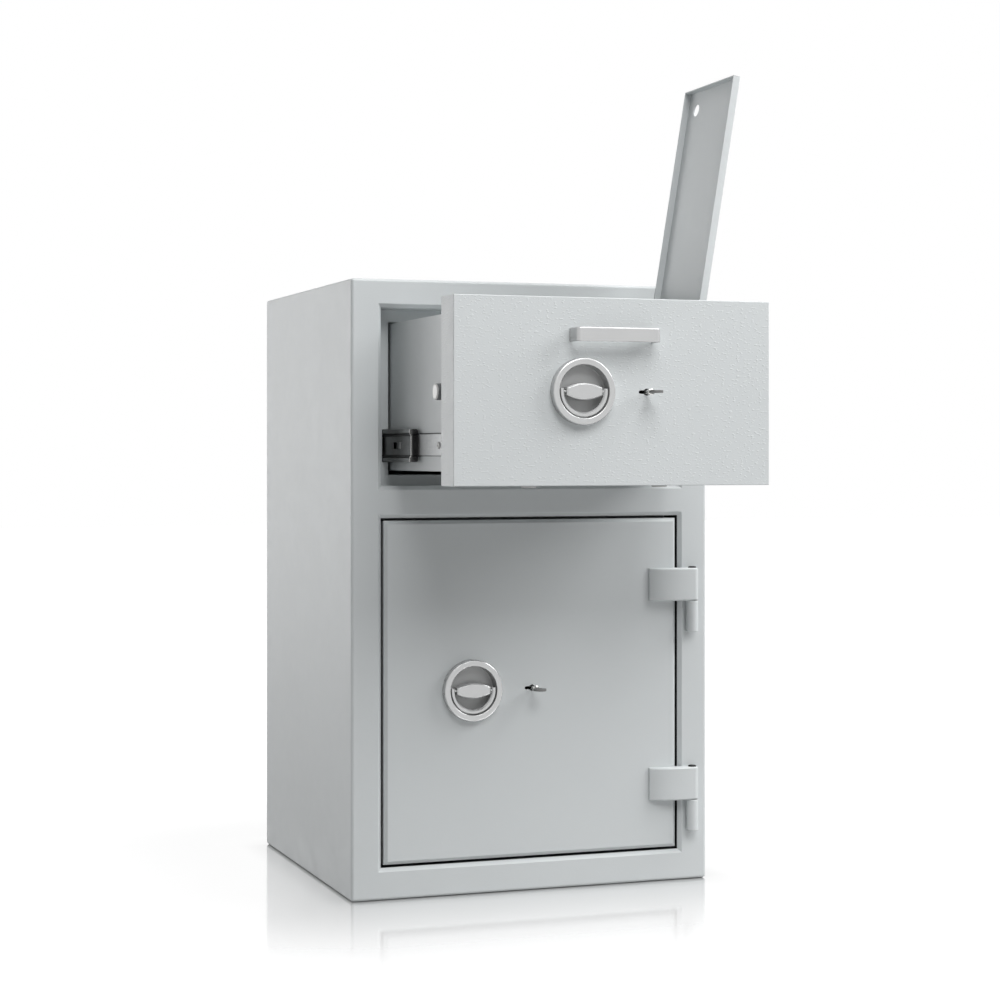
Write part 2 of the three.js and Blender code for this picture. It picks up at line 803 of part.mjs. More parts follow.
// Spindle with a cam disc; each angle places one pin that drives a bolt bar
function camSpindle(lock, pins) {
  const disc = [lock.face + panDepth + runGap, lock.face + panDepth + runGap + camThickness];
  const spindle = rod("y", spindleRadius, [lock.face + dishDepth, disc[1]], lock.x, lock.z);
  const plate = rod("y", camRadius, disc, lock.x, lock.z);
  const studs = pins.map(({ x, z, reach }) => rod(
    "y", camPinRadius, [disc[0], reach], lock.x + x, lock.z + z, smallSides));
  return join(spindle, plate, ...studs);
}

// The bars lie at the middle of the bolts; the bar of the bottom bolts lies nearer to the cam disc
function barSpan(lock) {
  return [boltY(lock) - barSheet / 2, boltY(lock) + barSheet / 2];
}

function lowBarSpan(lock) {
  const start = lock.face + panDepth + 2 * runGap + camThickness;
  return [start, start + lowBarSheet];
}

function camSlot(along, x, z) {
  const reach = [camRest - camPinRadius - camPinPlay, camPinCircle + camPinRadius + camPinPlay];
  const width = grown([0, 0], camPinRadius + camPinPlay);
  if (along === "z") {
    return { x: width.map((w) => x + w), z: reach.map((r) => Math.sign(z) * r) };
  }
  return { x: reach.map((r) => Math.sign(x) * r), z: width.map((w) => z + w) };
}

// A flat piece of a bar from spans that are measured from the knob's centre
function barPiece(lock, xSpan, zSpan, ySpan = barSpan(lock)) {
  return block(xSpan.map((x) => lock.x + x), ySpan, zSpan.map((z) => lock.z + z));
}

function camSlotTool(lock, slot, ySpan) {
  return barPiece(lock, slot.x, slot.z, grown(ySpan, overrun));
}

// The run that passes under the lock, from its slot at the cam, with notches for the lock bolt
function lockRun(lock, endX) {
  const slot = camSlot("z", camRest, -camRest);
  const head = barPiece(lock, grown(slot.x, barMargin), [slot.z[0] + barMargin / 2, barTopLow]);
  const run = barPiece(lock, [sorted(slot.x)[0] - barMargin, endX], [barTopHigh, barTopLow]);
  const notches = [0, boltTravel].map((shift) => {
    const middle = keyOffset + lockBoltOffset + shift;
    return barPiece(
      lock, grown([middle, middle], lockBoltWidth / 2 + notchPlay),
      [barTopHigh + overrun, barTopHigh - notchDepth], grown(barSpan(lock), overrun));
  });
  return { solid: join(head, run), tools: [camSlotTool(lock, slot, barSpan(lock)), ...notches] };
}

// Drawer boltwork: a thrown side bolt reaches past the edge of the frame's stop flange
function boltTip() {
  return flangeHalf + sideBoltEngage;
}

function sideBolt(side) {
  const tip = side * boltTip();
  return chamferedRod("x", [tip, tip - side * boltLength], boltY(drawerLock), drawerLock.z, side);
}

// A bolt with a small chamfer at the end that leads; sign says which end
function chamferedRod(axis, span, u, v, sign) {
  const [low, high] = sorted(span);
  const body = sign > 0 ? [low, high - boltChamfer] : [low + boltChamfer, high];
  const tip = sign > 0 ? [high - boltChamfer - overrun, high] : [low, low + boltChamfer + overrun];
  return join(
    rod(axis, boltRadius, body, u, v),
    rod(axis, boltRadius - boltChamfer, tip, u, v));
}

function sideBoltInner(side) {
  return side * (boltTip() - boltLength - seatGap) - drawerLock.x;
}

function leftBar() {
  const slot = camSlot("z", -camRest, camRest);
  const end = sideBoltInner(-1);
  const high = sorted(slot.z)[1] + barMargin;
  const low = sorted(slot.z)[0] - barMargin / 2;
  const run = barPiece(drawerLock, [end, sorted(slot.x)[1] + barMargin], [low, high]);
  const pad = barPiece(drawerLock, [end, end + barMargin * 2], [-boltRadius, high]);
  return cut(join(run, pad), camSlotTool(drawerLock, slot, barSpan(drawerLock)));
}

function rightBar() {
  const end = sideBoltInner(1);
  const { solid, tools } = lockRun(drawerLock, end);
  const pad = barPiece(drawerLock, [end - barMargin * 2, end], [barTopLow, boltRadius]);
  return cut(join(solid, pad), ...tools);
}

function bottomBoltLow() {
  return drawerBay.clearLow + lowFlange - bottomBoltEngage;
}

function bottomBolt(side) {
  const low = bottomBoltLow();
  return chamferedRod(
    "z", [low, low + bottomBoltLength], side * bottomBoltReach, boltY(drawerLock), -1);
}

function bottomBar() {
  const slot = camSlot("x", -camRest, -camRest);
  const beamLow = bottomBoltLow() + bottomBoltLength + seatGap;
  const ySpan = lowBarSpan(drawerLock);
  const legOut = sorted(slot.x)[0] - barMargin;
  const headEnd = sorted(slot.x)[1] + barMargin / 2;
  const head = barPiece(drawerLock, [legOut, headEnd], grown(slot.z, barMargin / 2), ySpan);
  const leg = barPiece(
    drawerLock, [legOut - barMargin, -camRest - camPinRadius - runGap],
    [sorted(slot.z)[1] + barMargin / 2, beamLow - drawerLock.z], ySpan);
  const beam = block(
    grown([0, 0], bottomBoltReach + boltRadius), [ySpan[0], ySpan[0] + beamDepth],
    [beamLow, beamLow + beamHeight]);
  return cut(join(head, leg, beam), camSlotTool(drawerLock, slot, ySpan));
}

// Lock case behind the liner, open at the back, with a chamber for the key bit and a way for its bolt
function lockCase(lock) {
  const x = lock.x + keyOffset;
  const ySpan = [lock.face + panDepth + seatGap, lock.face + panDepth + seatGap + lockDepth];
  const body = block([x - lockLeft, x + lockRight], ySpan, [lock.z - lockBelow, lock.z + lockAbove]);
  const chamber = rod("y", chamberRadius, [ySpan[0] + lockPlate, ySpan[1] + overrun], x, lock.z);
  const boltX = x + lockBoltOffset;
  const way = block(
    grown([boltX, boltX], lockBoltWidth / 2 + seatGap),
    [boltY(lock) - lockBoltThickness / 2 - seatGap, ySpan[1] + overrun],
    [lock.z - lockBelow - overrun, lock.z - lockBelow + lockBoltLength + seatGap * 2]);
  return cut(body, chamber, way, keyway(lock, [ySpan[0], ySpan[0] + lockPlate]));
}

function lockBolt(lock) {
  const x = lock.x + keyOffset + lockBoltOffset;
  const low = lock.z - lockBelow + seatGap;
  return block(
    grown([x, x], lockBoltWidth / 2), grown([boltY(lock), boltY(lock)], lockBoltThickness / 2),
    [low, low + lockBoltLength]);
}

// Key, flat side level, with one bit that lies towards the slot
function key(lock) {
  const x = lock.x + keyOffset;
  const bowEnd = lock.face - keyStemProud;
  const bowOutline = new THREE.Shape();
  const bowMiddle = bowEnd - keyBowLength / 2;
  bowOutline.absellipse(x, bowMiddle, keyBowWidth / 2, keyBowLength / 2, 0, 2 * Math.PI);
  const bowHole = new THREE.Path();
  bowHole.absarc(x, bowMiddle, keyBowHoleRadius, 0, 2 * Math.PI);
  bowOutline.holes.push(bowHole);
  const bow = extruded(
    bowOutline, "z", grown([lock.z, lock.z], keyBowThickness / 2), keyBowThickness / 6);
  const bitStart = lock.face + panDepth + keyBitBehindPan;
  const stemSpan = [bowEnd - keyBowThickness / 3, bitStart + keyBitLength];
  const stem = rod("y", keyStemRadius, stemSpan, x, lock.z, smallSides);
  const collarEnd = lock.face - keyCollarProud;
  const collar = rod("y", keyCollarRadius, [collarEnd - keyCollarLength, collarEnd], x, lock.z, smallSides);
  const bit = block(
    [x - keyBitReach, x], [bitStart, bitStart + keyBitLength],
    grown([lock.z, lock.z], keyBitThickness / 2));
  const step = block(
    [x - keyBitReach - overrun, x - keyBitReach / 2],
    [bitStart + keyBitLength / 3, bitStart + keyBitLength / 2],
    grown([lock.z, lock.z], keyBitThickness));
  return join(bow, stem, collar, cut(bit, step));
}

// Door: bolt box behind the liner, bolts, bar and the fixed dog on the hinge side
function boltBox() {
  const ySpan = [front + panDepth + seatGap, front + panDepth + seatGap + boltBoxDepth];
  const height = grown([doorBay.clearLow + lowFlange, doorBay.clearHigh - topFlange], -boltBoxMargin);
  const outer = block([-boltBoxHalf, boltBoxHalf], ySpan, height);
  const inside = block(
    grown([-boltBoxHalf, boltBoxHalf], -boltBoxSheet),
    [ySpan[0] - overrun, ySpan[1] - boltBoxSheet],
    grown(height, -boltBoxSheet));
  const holes = doorBoltHeights().map((z) => rod(
    "x", boltRadius + runGap, grown([-boltBoxHalf, boltBoxSheet - boltBoxHalf], overrun),
    boltY(doorLock), z));
  return cut(outer, inside, ...holes);
}

function doorBoltHeights() {
  return [doorLock.z + doorBoltReach, doorLock.z - doorBoltReach];
}

function doorBoltTip() {
  return -boltBoxHalf - doorBoltProud;
}

function doorBolt(z) {
  const tip = doorBoltTip();
  return chamferedRod("x", [tip, tip + boltLength], boltY(doorLock), z, -1);
}

function doorBar() {
  const near = doorBoltTip() + boltLength + seatGap - doorLock.x;
  const { solid, tools } = lockRun(doorLock, keyOffset + lockRight + boltTravel);
  const post = barPiece(
    doorLock, [near, near + doorBarWidth], grown([-doorBoltReach, doorBoltReach], boltRadius));
  const arm = barPiece(doorLock, [near, camRest], [barTopHigh, barTopLow]);
  return cut(join(solid, post, arm), ...tools);
}

function hingeDog() {
  const start = { x: boltBoxHalf + seatGap, y: front + panDepth + dogBehindPan };
  const height = grown([doorPan.low, doorPan.high], -dogEndInset);
  return block([start.x, start.x + dogReach], [start.y, start.y + dogThickness], height);
}

// Outside hinges: an arched strap on the door turns on a pin in a knuckle on the frame
function hingeStrap(top) {
  const outline = new THREE.Shape();
  const seat = front - seatGap;
  const end = hingeX - strapReach;
  outline.moveTo(end, seat);
  outline.lineTo(end, seat - strapEndThickness);
  outline.quadraticCurveTo(hingeX - strapReach / 2, hingeY - hingeRadius, hingeX, hingeY - hingeRadius);
  outline.absarc(hingeX, hingeY, hingeRadius, -Math.PI / 2, Math.PI / 2);
  outline.lineTo(end, seat);
  const strap = extruded(outline, "z", [top - strapHeight, top], seatGap * 2);
  const bore = rod("z", hingePinRadius + seatGap, grown([top - strapHeight, top], overrun), hingeX, hingeY);
  return cut(strap, bore);
}

function knuckleTop(top) {
  return top - strapHeight - seatGap;
}

function hingeKnuckle(top) {
  const high = knuckleTop(top);
  const barrel = rod("z", hingeRadius, [high - knuckleHeight, high], hingeX, hingeY);
  const foot = block(
    grown([hingeX, hingeX], knuckleFootWidth / 2), [hingeY, front - seatGap], [high - knuckleHeight, high]);
  const bore = rod(
    "z", hingePinRadius + seatGap, [high - knuckleHeight + hingePinRecess, high + overrun], hingeX, hingeY);
  return cut(join(barrel, foot), bore);
}

function hingePin(top) {
  const low = knuckleTop(top) - knuckleHeight + hingePinRecess + seatGap;
  return rod("z", hingePinRadius, [low, top - hingePinRecess], hingeX, hingeY);
}

function sideName(side) {
  return side < 0 ? "left" : "right";
}

// Cabinet with its fixed pieces
addPart("outer_casing", outerCasing(), paint);
addPart("front_frame", frontFrame(), paint);
addPart("bay_floor", bayFloor(), paint);
addPart("drop_baffle", dropBaffle(), paint);
for (const side of [-1, 1]) {
  addPart(`slide_bracket_${sideName(side)}`, slideBracket(side), zincSteel);
  addPart(`slide_outer_${sideName(side)}`, slideOuter(side), zincSteel);
  addPart(`slide_middle_${sideName(side)}`, slideMiddle(side), zincSteel);
  addPart(`slide_retainer_${sideName(side)}`, slideRetainer(side), blackPlastic);
  addPart(`slide_inner_${sideName(side)}`, slideInner(side), zincSteel);
}
for (const [place, top] of [["upper", upperStrapTop], ["lower", lowerStrapTop]]) {
  addPart(`${place}_hinge_knuckle`, hingeKnuckle(top), paint);
  addPart(`${place}_hinge_pin`, hingePin(top), darkSteel);
  addPart(`${place}_hinge_strap`, hingeStrap(top), paint);
}

// Ring handle, key and lock of the drawer and of the door
for (const [place, shape, lock] of [["drawer", drawerPan, drawerLock], ["door", doorPan, doorLock]]) {
  addPart(`${place}_front`, pan(shape, lock), paint);
  addPart(`${place}_liner`, liner(shape, lock), paint);
  addPart(`${place}_rose`, rose(lock), satinMetal);
  addPart(`${place}_grip`, grip(lock), satinMetal);
  addPart(`${place}_bail`, bail(lock), satinMetal);
  addPart(`${place}_key`, key(lock), keySteel);
  addPart(`${place}_lock_case`, lockCase(lock), darkSteel);
  addPart(`${place}_lock_bolt`, lockBolt(lock), keySteel);
}

// Drawer box, well, flaps and pull handle
addPart("drawer_shell", drawerShell(), paint);
addPart("well_front_wall", wellWall([wellFront - boxSheet, wellFront]), paint);
addPart("well_back_wall", wellWall([wellBack, wellBack + boxSheet]), paint);
addPart("drawer_top_plate", topPlate(), paint);
addPart("drop_flap_front", flap(flapPivots()[0]), zincSteel);
addPart("drop_flap_back", flap(flapPivots()[1]), zincSteel);
addPart("pull_handle", pullHandle(), satinMetal);

// Boltwork of the drawer
addPart("drawer_cam_spindle", camSpindle(drawerLock, [
  { x: -camRest, z: camRest, reach: barSpan(drawerLock)[1] },
  { x: camRest, z: -camRest, reach: barSpan(drawerLock)[1] },
  { x: -camRest, z: -camRest, reach: lowBarSpan(drawerLock)[1] },
]), darkSteel);
for (const side of [-1, 1]) {
  addPart(`${sideName(side)}_bolt`, sideBolt(side), keySteel);
  addPart(`bottom_bolt_${sideName(side)}`, bottomBolt(side), keySteel);
}
addPart("left_bolt_bar", leftBar(), darkSteel);
addPart("right_bolt_bar", rightBar(), darkSteel);
addPart("bottom_bolt_bar", bottomBar(), darkSteel);

// Door boltwork
addPart("door_bolt_box", boltBox(), paint);
addPart("door_hinge_dog", hingeDog(), darkSteel);
addPart("door_cam_spindle", camSpindle(doorLock, [
  { x: camRest, z: -camRest, reach: barSpan(doorLock)[1] },
]), darkSteel);
doorBoltHeights().forEach((z, index) => {
  addPart(index === 0 ? "door_upper_bolt" : "door_lower_bolt", doorBolt(z), keySteel);
});
addPart("door_bolt_bar", doorBar(), darkSteel);

// Lid with its hinge; the lid's group stands on the hinge axis and is turned open
addPart("lid_hinge_leaf", lidHingeLeaf(), zincSteel);
addPart("lid_hinge_pin", lidHingePin(), zincSteel);
const lidCarrier = new THREE.Group();
lidCarrier.position.set(lidAxis.x, 0, lidAxis.z);
lidCarrier.rotation.y = lidOpenAngle;
const lidFrame = new THREE.Group();
lidFrame.position.set(-lidAxis.x, 0, -lidAxis.z);
lidCarrier.add(lidFrame);
safe.add(lidCarrier);
addPart("drawer_lid", lid(), paint, lidFrame);

export default safe;
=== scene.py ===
"""Drop safe with a deposit drawer: fine pieces, finishes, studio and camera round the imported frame.

Metres, +X right, +Y towards the back, +Z up, origin at the middle of the cabinet's underside.
"""
import json
import logging
import math
from dataclasses import dataclass
from enum import Enum
from functools import cache
from itertools import product
from typing import Callable, Iterable, Sequence

import bmesh
import bpy
from mathutils import Matrix, Vector


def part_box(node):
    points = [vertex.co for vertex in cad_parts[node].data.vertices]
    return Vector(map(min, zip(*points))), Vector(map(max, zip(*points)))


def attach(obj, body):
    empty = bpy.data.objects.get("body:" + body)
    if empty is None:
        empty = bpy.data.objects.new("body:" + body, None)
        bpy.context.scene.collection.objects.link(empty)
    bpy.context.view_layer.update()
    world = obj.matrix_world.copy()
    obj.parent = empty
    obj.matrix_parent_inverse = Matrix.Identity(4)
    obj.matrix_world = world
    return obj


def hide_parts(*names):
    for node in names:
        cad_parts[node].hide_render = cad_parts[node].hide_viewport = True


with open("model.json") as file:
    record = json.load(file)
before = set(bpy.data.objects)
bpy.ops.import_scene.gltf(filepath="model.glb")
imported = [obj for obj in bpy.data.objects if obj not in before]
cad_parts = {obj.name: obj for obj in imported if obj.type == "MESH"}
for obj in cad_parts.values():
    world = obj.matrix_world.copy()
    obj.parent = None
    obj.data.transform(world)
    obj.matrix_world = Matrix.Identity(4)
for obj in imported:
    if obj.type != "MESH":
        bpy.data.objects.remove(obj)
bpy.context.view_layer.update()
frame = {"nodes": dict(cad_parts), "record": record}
log = logging.getLogger("drop_safe")

Piece = bpy.types.Object
Material = bpy.types.Material
Node = bpy.types.Node
Socket = bpy.types.NodeSocket
BMesh = bmesh.types.BMesh
Vert = bmesh.types.BMVert
Edge = bmesh.types.BMEdge
Span = tuple[float, float]
Outline = Sequence[Span]
Color = tuple[float, float, float]
Step = tuple[bool, Vector, Vector]
Input = float | Sequence[float] | Socket | Node

SMOOTH_ANGLE = math.radians(32)
FLAT_ANGLE = math.radians(1)
OVERRUN = 0.002
TOUCH = 1e-5
POLE = 1e-7
MIX_FIRST, MIX_SECOND, MIX_RESULT = 6, 7, 2
BLACK, WHITE = (0, 0, 0), (1, 1, 1)
EDGE_STEPS, LIP_STEPS, RIM_STEPS, END_STEPS, BEND_STEPS, NOSE_STEPS, HOLE_STEPS = 2, 4, 6, 8, 12, 20, 28
SMALL_SIDES, HEAD_SIDES, ROUND_SIDES, BARREL_SIDES, CUP_SIDES, ROSE_SIDES = 24, 32, 48, 64, 96, 128
CLOUD_STOPS = (0.3, 0.7)


class Axis(Enum):
    """The axis that a shape runs along or turns about."""

    X = 0
    Y = 1
    Z = 2

    def place(self, u: float, v: float, along: float) -> Vector:
        """Places a point across and along the axis.

        Args:
            u: Its first place across, in the order x, y, z.
            v: Its second place across.
            along: Its place along the axis.

        Returns:
            The point.
        """
        point = [u, v]
        point.insert(self.value, along)
        return Vector(point)


class Side(Enum):
    """Left or right of the safe, seen from the front."""

    LEFT = -1
    RIGHT = 1

    @property
    def word(self) -> str:
        """The side's name as the nodes spell it."""
        return self.name.lower()


# Frame places


def low(node: str) -> Vector:
    """Lowest corner of a node."""
    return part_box(node)[0]


def high(node: str) -> Vector:
    """Highest corner of a node."""
    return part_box(node)[1]


def middle(node: str) -> Vector:
    """Centre of a node's box."""
    return (low(node) + high(node)) / 2


def body_of(node: str) -> str:
    """Name of the body that a node rides on."""
    bodies = frame["record"]["behaviour"]["bodies"]
    return next(body for body, nodes in bodies.items() if node in nodes)


# Meshes


def add_box(a: Sequence[float], b: Sequence[float]) -> Step:
    """A step of cells that adds the box between two opposite corners."""
    return True, Vector([min(p) for p in zip(a, b)]), Vector([max(p) for p in zip(a, b)])


def cut_box(a: Sequence[float], b: Sequence[float]) -> Step:
    """A step of cells that cuts the box between two opposite corners."""
    return False, *add_box(a, b)[1:]


def cells(steps: Iterable[Step]) -> BMesh:
    """Builds a closed mesh of box unions and cuts.

    Args:
        steps: In order, whether the box adds material, and its lowest and highest corners.

    Returns:
        A mesh without inner faces, with flat stretches merged.
    """
    boxes = [
        (add, *(tuple(round(c, 6) for c in corner) for corner in corners)) for add, *corners in steps]
    planes = [sorted({corner[k] for _, *box in boxes for corner in box}) for k in range(3)]
    solid: set[tuple[int, ...]] = set()
    for add, lo, hi in boxes:
        runs = (range(planes[k].index(lo[k]), planes[k].index(hi[k])) for k in range(3))
        solid = solid | set(product(*runs)) if add else solid - set(product(*runs))
    bm = bmesh.new()
    corners: dict[tuple[int, ...], Vert] = {}
    for cell in sorted(solid):
        for axis, step in product(range(3), (0, 1)):
            near = list(cell)
            near[axis] += 2 * step - 1
            if tuple(near) in solid:
                continue
            ring = []
            for across in ((0, 0), (1, 0), (1, 1), (0, 1)):
                shift = list(across)
                shift.insert(axis, step)
                at = tuple(c + s for c, s in zip(cell, shift))
                if at not in corners:
                    corners[at] = bm.verts.new([planes[k][at[k]] for k in range(3)])
                ring.append(corners[at])
            outward = (step == 1) != (axis == 1)
            bm.faces.new(ring if outward else ring[::-1])
    bm.normal_update()
    bmesh.ops.dissolve_limit(
        bm, angle_limit=FLAT_ANGLE, verts=bm.verts[:], edges=bm.edges[:], use_dissolve_boundaries=False)
    bmesh.ops.dissolve_verts(bm, verts=[v for v in bm.verts if len(v.link_edges) == 2])
    return bm


def block(a: Sequence[float], b: Sequence[float]) -> BMesh:
    """A box between two opposite corners."""
    return cells((add_box(a, b),))


def skinned(rings: Iterable[Iterable[Sequence[float]]]) -> BMesh:
    """Builds a closed mesh through rings of points.

    Args:
        rings: The rings in order, each with as many points.

    Returns:
        A mesh with a face at each end.
    """
    bm = bmesh.new()
    loops = [[bm.verts.new(point) for point in ring] for ring in rings]
    for first, second in zip(loops, loops[1:]):
        for i in range(len(first)):
            j = (i + 1) % len(first)
            bm.faces.new((first[i], first[j], second[j], second[i]))
    bm.faces.new(loops[0][::-1])
    bm.faces.new(loops[-1])
    bmesh.ops.recalc_face_normals(bm, faces=bm.faces[:])
    return bm


def prism(outline: Outline, axis: Axis, span: Sequence[float]) -> BMesh:
    """Carries an outline, its points across the axis in the order x, y, z, along the axis."""
    return skinned([[axis.place(u, v, along) for u, v in outline] for along in span])


def swept(section: Outline, stations: Sequence[Matrix]) -> BMesh:
    """Carries a section through stations, whose X and Y axes place its u and v."""
    return skinned([[place @ Vector((u, v, 0)) for u, v in section] for place in stations])


def station(at: Vector, along_u: Vector, along_v: Vector) -> Matrix:
    """A place for a section, from the directions of its u and v."""
    columns = (along_u, along_v, along_u.cross(along_v), at)
    return Matrix((*zip(*columns), (0, 0, 0, 1)))


def turned(profile: Outline, axis: Axis, centre: Sequence[float], sides: int = ROUND_SIDES) -> BMesh:
    """Turns a profile about an axis.

    Args:
        profile: Points of (radius, place along the axis); it closes on itself, or runs from axis to
            axis.
        axis: The axis that it turns about.
        centre: The axis's place across itself, in the order x, y, z.
        sides: Number of steps round.

    Returns:
        A closed mesh.
    """
    bm = bmesh.new()
    turns = [2 * math.pi * i / sides for i in range(sides)]
    rings: list[list[Vert]] = []
    for radius, along in profile:
        if radius < POLE:
            rings.append([bm.verts.new(axis.place(*centre, along))] * sides)
            continue
        rings.append([bm.verts.new(axis.place(
            centre[0] + radius * math.cos(turn), centre[1] + radius * math.sin(turn), along))
            for turn in turns])
    open_run = profile[0][0] < POLE and profile[-1][0] < POLE
    for first, second in zip(rings, rings[1:] if open_run else rings[1:] + rings[:1]):
        for i in range(sides):
            j = (i + 1) % sides
            loop = list(dict.fromkeys((first[i], first[j], second[j], second[i])))
            if len(loop) > 2:
                bm.faces.new(loop)
    bmesh.ops.recalc_face_normals(bm, faces=bm.faces[:])
    return bm


def chamfered(half_u: float, half_v: float, edge: float) -> list[Span]:
    """Outlines a rectangle about its middle with its corners cut off.

    Args:
        half_u: Half its length along u.
        half_v: Half its length along v.
        edge: How much of each side a corner takes.

    Returns:
        Its eight points.
    """
    return [
        (edge - half_u, -half_v), (half_u - edge, -half_v), (half_u, edge - half_v),
        (half_u, half_v - edge), (half_u - edge, half_v), (edge - half_u, half_v),
        (-half_u, half_v - edge), (-half_u, edge - half_v),
    ]


def arc(centre: Sequence[float], radius: float, start: float, end: float, steps: int) -> list[Span]:
    """Points on an arc, its angles in degrees, both ends included."""
    angles = [math.radians(start + (end - start) * i / steps) for i in range(steps + 1)]
    return [(centre[0] + radius * math.cos(a), centre[1] + radius * math.sin(a)) for a in angles]


def rod_profile(radius: float, span: Span, edge: float = 0.0) -> list[Span]:
    """Profiles a round bar from axis to axis.

    Args:
        radius: The bar's radius.
        span: Where it starts and ends.
        edge: The chamfer at its ends.

    Returns:
        Points of (radius, place along the axis).
    """
    start, end = span
    return [
        (0, start), (radius - edge, start), (radius, start + edge),
        (radius, end - edge), (radius - edge, end), (0, end),
    ]


def edges_where(bm: BMesh, test: Callable[[Vector, Vector], bool]) -> list[Edge]:
    """The sharp edges whose two ends pass a test."""
    sharp = [e for e in bm.edges if e.calc_face_angle(0) > SMOOTH_ANGLE]
    return [e for e in sharp if test(e.verts[0].co, e.verts[1].co)]


def rounded(bm: BMesh, edges: list[Edge], width: float, segments: int = 1) -> None:
    """Rounds edges of a mesh.

    Args:
        bm: The mesh.
        edges: Its edges to round.
        width: Width of the rounding.
        segments: Steps in it; one gives a flat chamfer.
    """
    bmesh.ops.bevel(
        bm, geom=edges, offset=width, offset_type="OFFSET", segments=segments, profile=0.5,
        affect="EDGES", clamp_overlap=True)


def object_from(name: str, bm: BMesh) -> Piece:
    """Makes a linked object from a mesh under construction.

    Args:
        name: The object's name.
        bm: Its mesh, which is used up.

    Returns:
        The object.
    """
    mesh = bpy.data.meshes.new(name)
    bm.to_mesh(mesh)
    bm.free()
    piece = bpy.data.objects.new(name, mesh)
    bpy.context.scene.collection.objects.link(piece)
    return piece


def carve(piece: Piece, tools: Iterable[BMesh], mode: str = "DIFFERENCE") -> None:
    """Cuts closed tools out of a piece, or joins them to it, and keeps only the result.

    Args:
        piece: The piece.
        tools: The tools, which are used up.
        mode: DIFFERENCE to cut, UNION to join.
    """
    for bm in tools:
        tool = object_from("tool", bm)
        modifier = piece.modifiers.new("cut", "BOOLEAN")
        modifier.operation = mode
        modifier.solver = "EXACT"
        modifier.object = tool
        graph = bpy.context.evaluated_depsgraph_get()
        old, used = piece.data, tool.data
        result = bpy.data.meshes.new_from_object(piece.evaluated_get(graph))
        piece.modifiers.remove(modifier)
        piece.data = result
        bpy.data.objects.remove(tool)
        for mesh in (old, used):
            bpy.data.meshes.remove(mesh)


def soften(piece: Piece, width: float) -> None:
    """Rounds what sharp edges a piece has left and shades it smooth.

    Args:
        piece: The piece.
        width: Width of the rounding, or nought for none.
    """
    piece.data.shade_smooth()
    if width > 0:
        bevel = piece.modifiers.new("edges", "BEVEL")
        bevel.width = width
        bevel.segments = EDGE_STEPS
        bevel.limit_method = "ANGLE"
        bevel.angle_limit = SMOOTH_ANGLE
        bevel.miter_outer = "MITER_ARC"
    else:
        piece.data.set_sharp_from_angle(angle=SMOOTH_ANGLE)
    piece.modifiers.new("normals", "WEIGHTED_NORMAL").keep_sharp = True


# Finishes


class Graph:
    """The nodes of a material or of the world, with short ways to add and join them."""

    def __init__(self, owner: Material | bpy.types.World, output: str = "OutputMaterial") -> None:
        """Empties the owner's nodes and adds an output.

        Args:
            owner: The material or world.
            output: Type of its output.
        """
        owner.use_nodes = True
        self.tree = owner.node_tree
        self.tree.nodes.clear()
        self.output = self.add(output)

    def add(self, kind: str, inputs: dict[str | int, Input] | None = None, **settings: object) -> Node:
        """Adds a node.

        Args:
            kind: Its type, without the words that all types start with.
            inputs: What its sockets take: a value, another socket, or a node's first output.
            settings: Its properties.

        Returns:
            The node.
        """
        node = self.tree.nodes.new("ShaderNode" + kind)
        for name, value in settings.items():
            setattr(node, name, value)
        for name, value in (inputs or {}).items():
            if isinstance(value, (Node, Socket)):
                source = value.outputs[0] if isinstance(value, Node) else value
                self.tree.links.new(source, node.inputs[name])
            else:
                node.inputs[name].default_value = value
        return node

    def finish(self, shader: Node) -> None:
        """Joins the last shader to the output."""
        self.tree.links.new(shader.outputs[0], self.output.inputs["Surface"])

    def place(self) -> Socket:
        """Object coordinates."""
        return self.add("TexCoord").outputs["Object"]

    def math(self, kind: str, *values: Input) -> Node:
        """A calculation on numbers or sockets."""
        return self.add("Math", dict(enumerate(values)), operation=kind)

    def times(self, first: Node, second: Node) -> Socket:
        """Two colours multiplied; a colour mix keeps its sockets after those for numbers."""
        inputs = {"Factor": 1.0, MIX_FIRST: first, MIX_SECOND: second}
        return self.add("Mix", inputs, data_type="RGBA", blend_type="MULTIPLY").outputs[MIX_RESULT]

    def stretched(self, scale: Sequence[float]) -> Node:
        """Object coordinates scaled along each axis."""
        return self.add("Mapping", {"Scale": scale, "Vector": self.place()})

    def noise(
        self, scale: float, detail: float, roughness: float = 0.5, stretch: Sequence[float] = WHITE
    ) -> Node:
        """Noise from 0 to 1 on object coordinates, its detail the number of finer layers."""
        return self.add("TexNoise", {
            "Scale": scale, "Detail": detail, "Roughness": roughness, "Vector": self.stretched(stretch)})

    def ramp(self, source: Input, stops: Sequence[tuple[float, Color]]) -> Node:
        """A colour ramp.

        Args:
            source: The value that it follows.
            stops: Its two places and their colours.

        Returns:
            The ramp.
        """
        node = self.add("ValToRGB", {"Fac": source})
        for element, (position, color) in zip(node.color_ramp.elements, stops):
            element.position = position
            element.color = (*color, 1)
        return node

    def range_of(self, source: Input, span: Span) -> Node:
        """A value from 0 to 1 spread over a range."""
        return self.add("MapRange", {"To Min": span[0], "To Max": span[1], "Value": source})

    def bumps(self, layers: Sequence[tuple[Node, float, float]]) -> Node:
        """Stacks bumps.

        Args:
            layers: The height, strength and depth of each.

        Returns:
            The normal that they give.
        """
        above: dict[str, Input] = {}
        for height, strength, depth in layers:
            inputs = {"Strength": strength, "Distance": depth, "Height": height}
            above = {"Normal": self.add("Bump", inputs | above)}
        return above["Normal"]

    def shown(self) -> Node:
        """One for what the camera sees, itself or in a reflection, and nought for other light."""
        path = self.add("LightPath").outputs
        return self.math("MAXIMUM", path["Is Camera Ray"], path["Is Glossy Ray"])


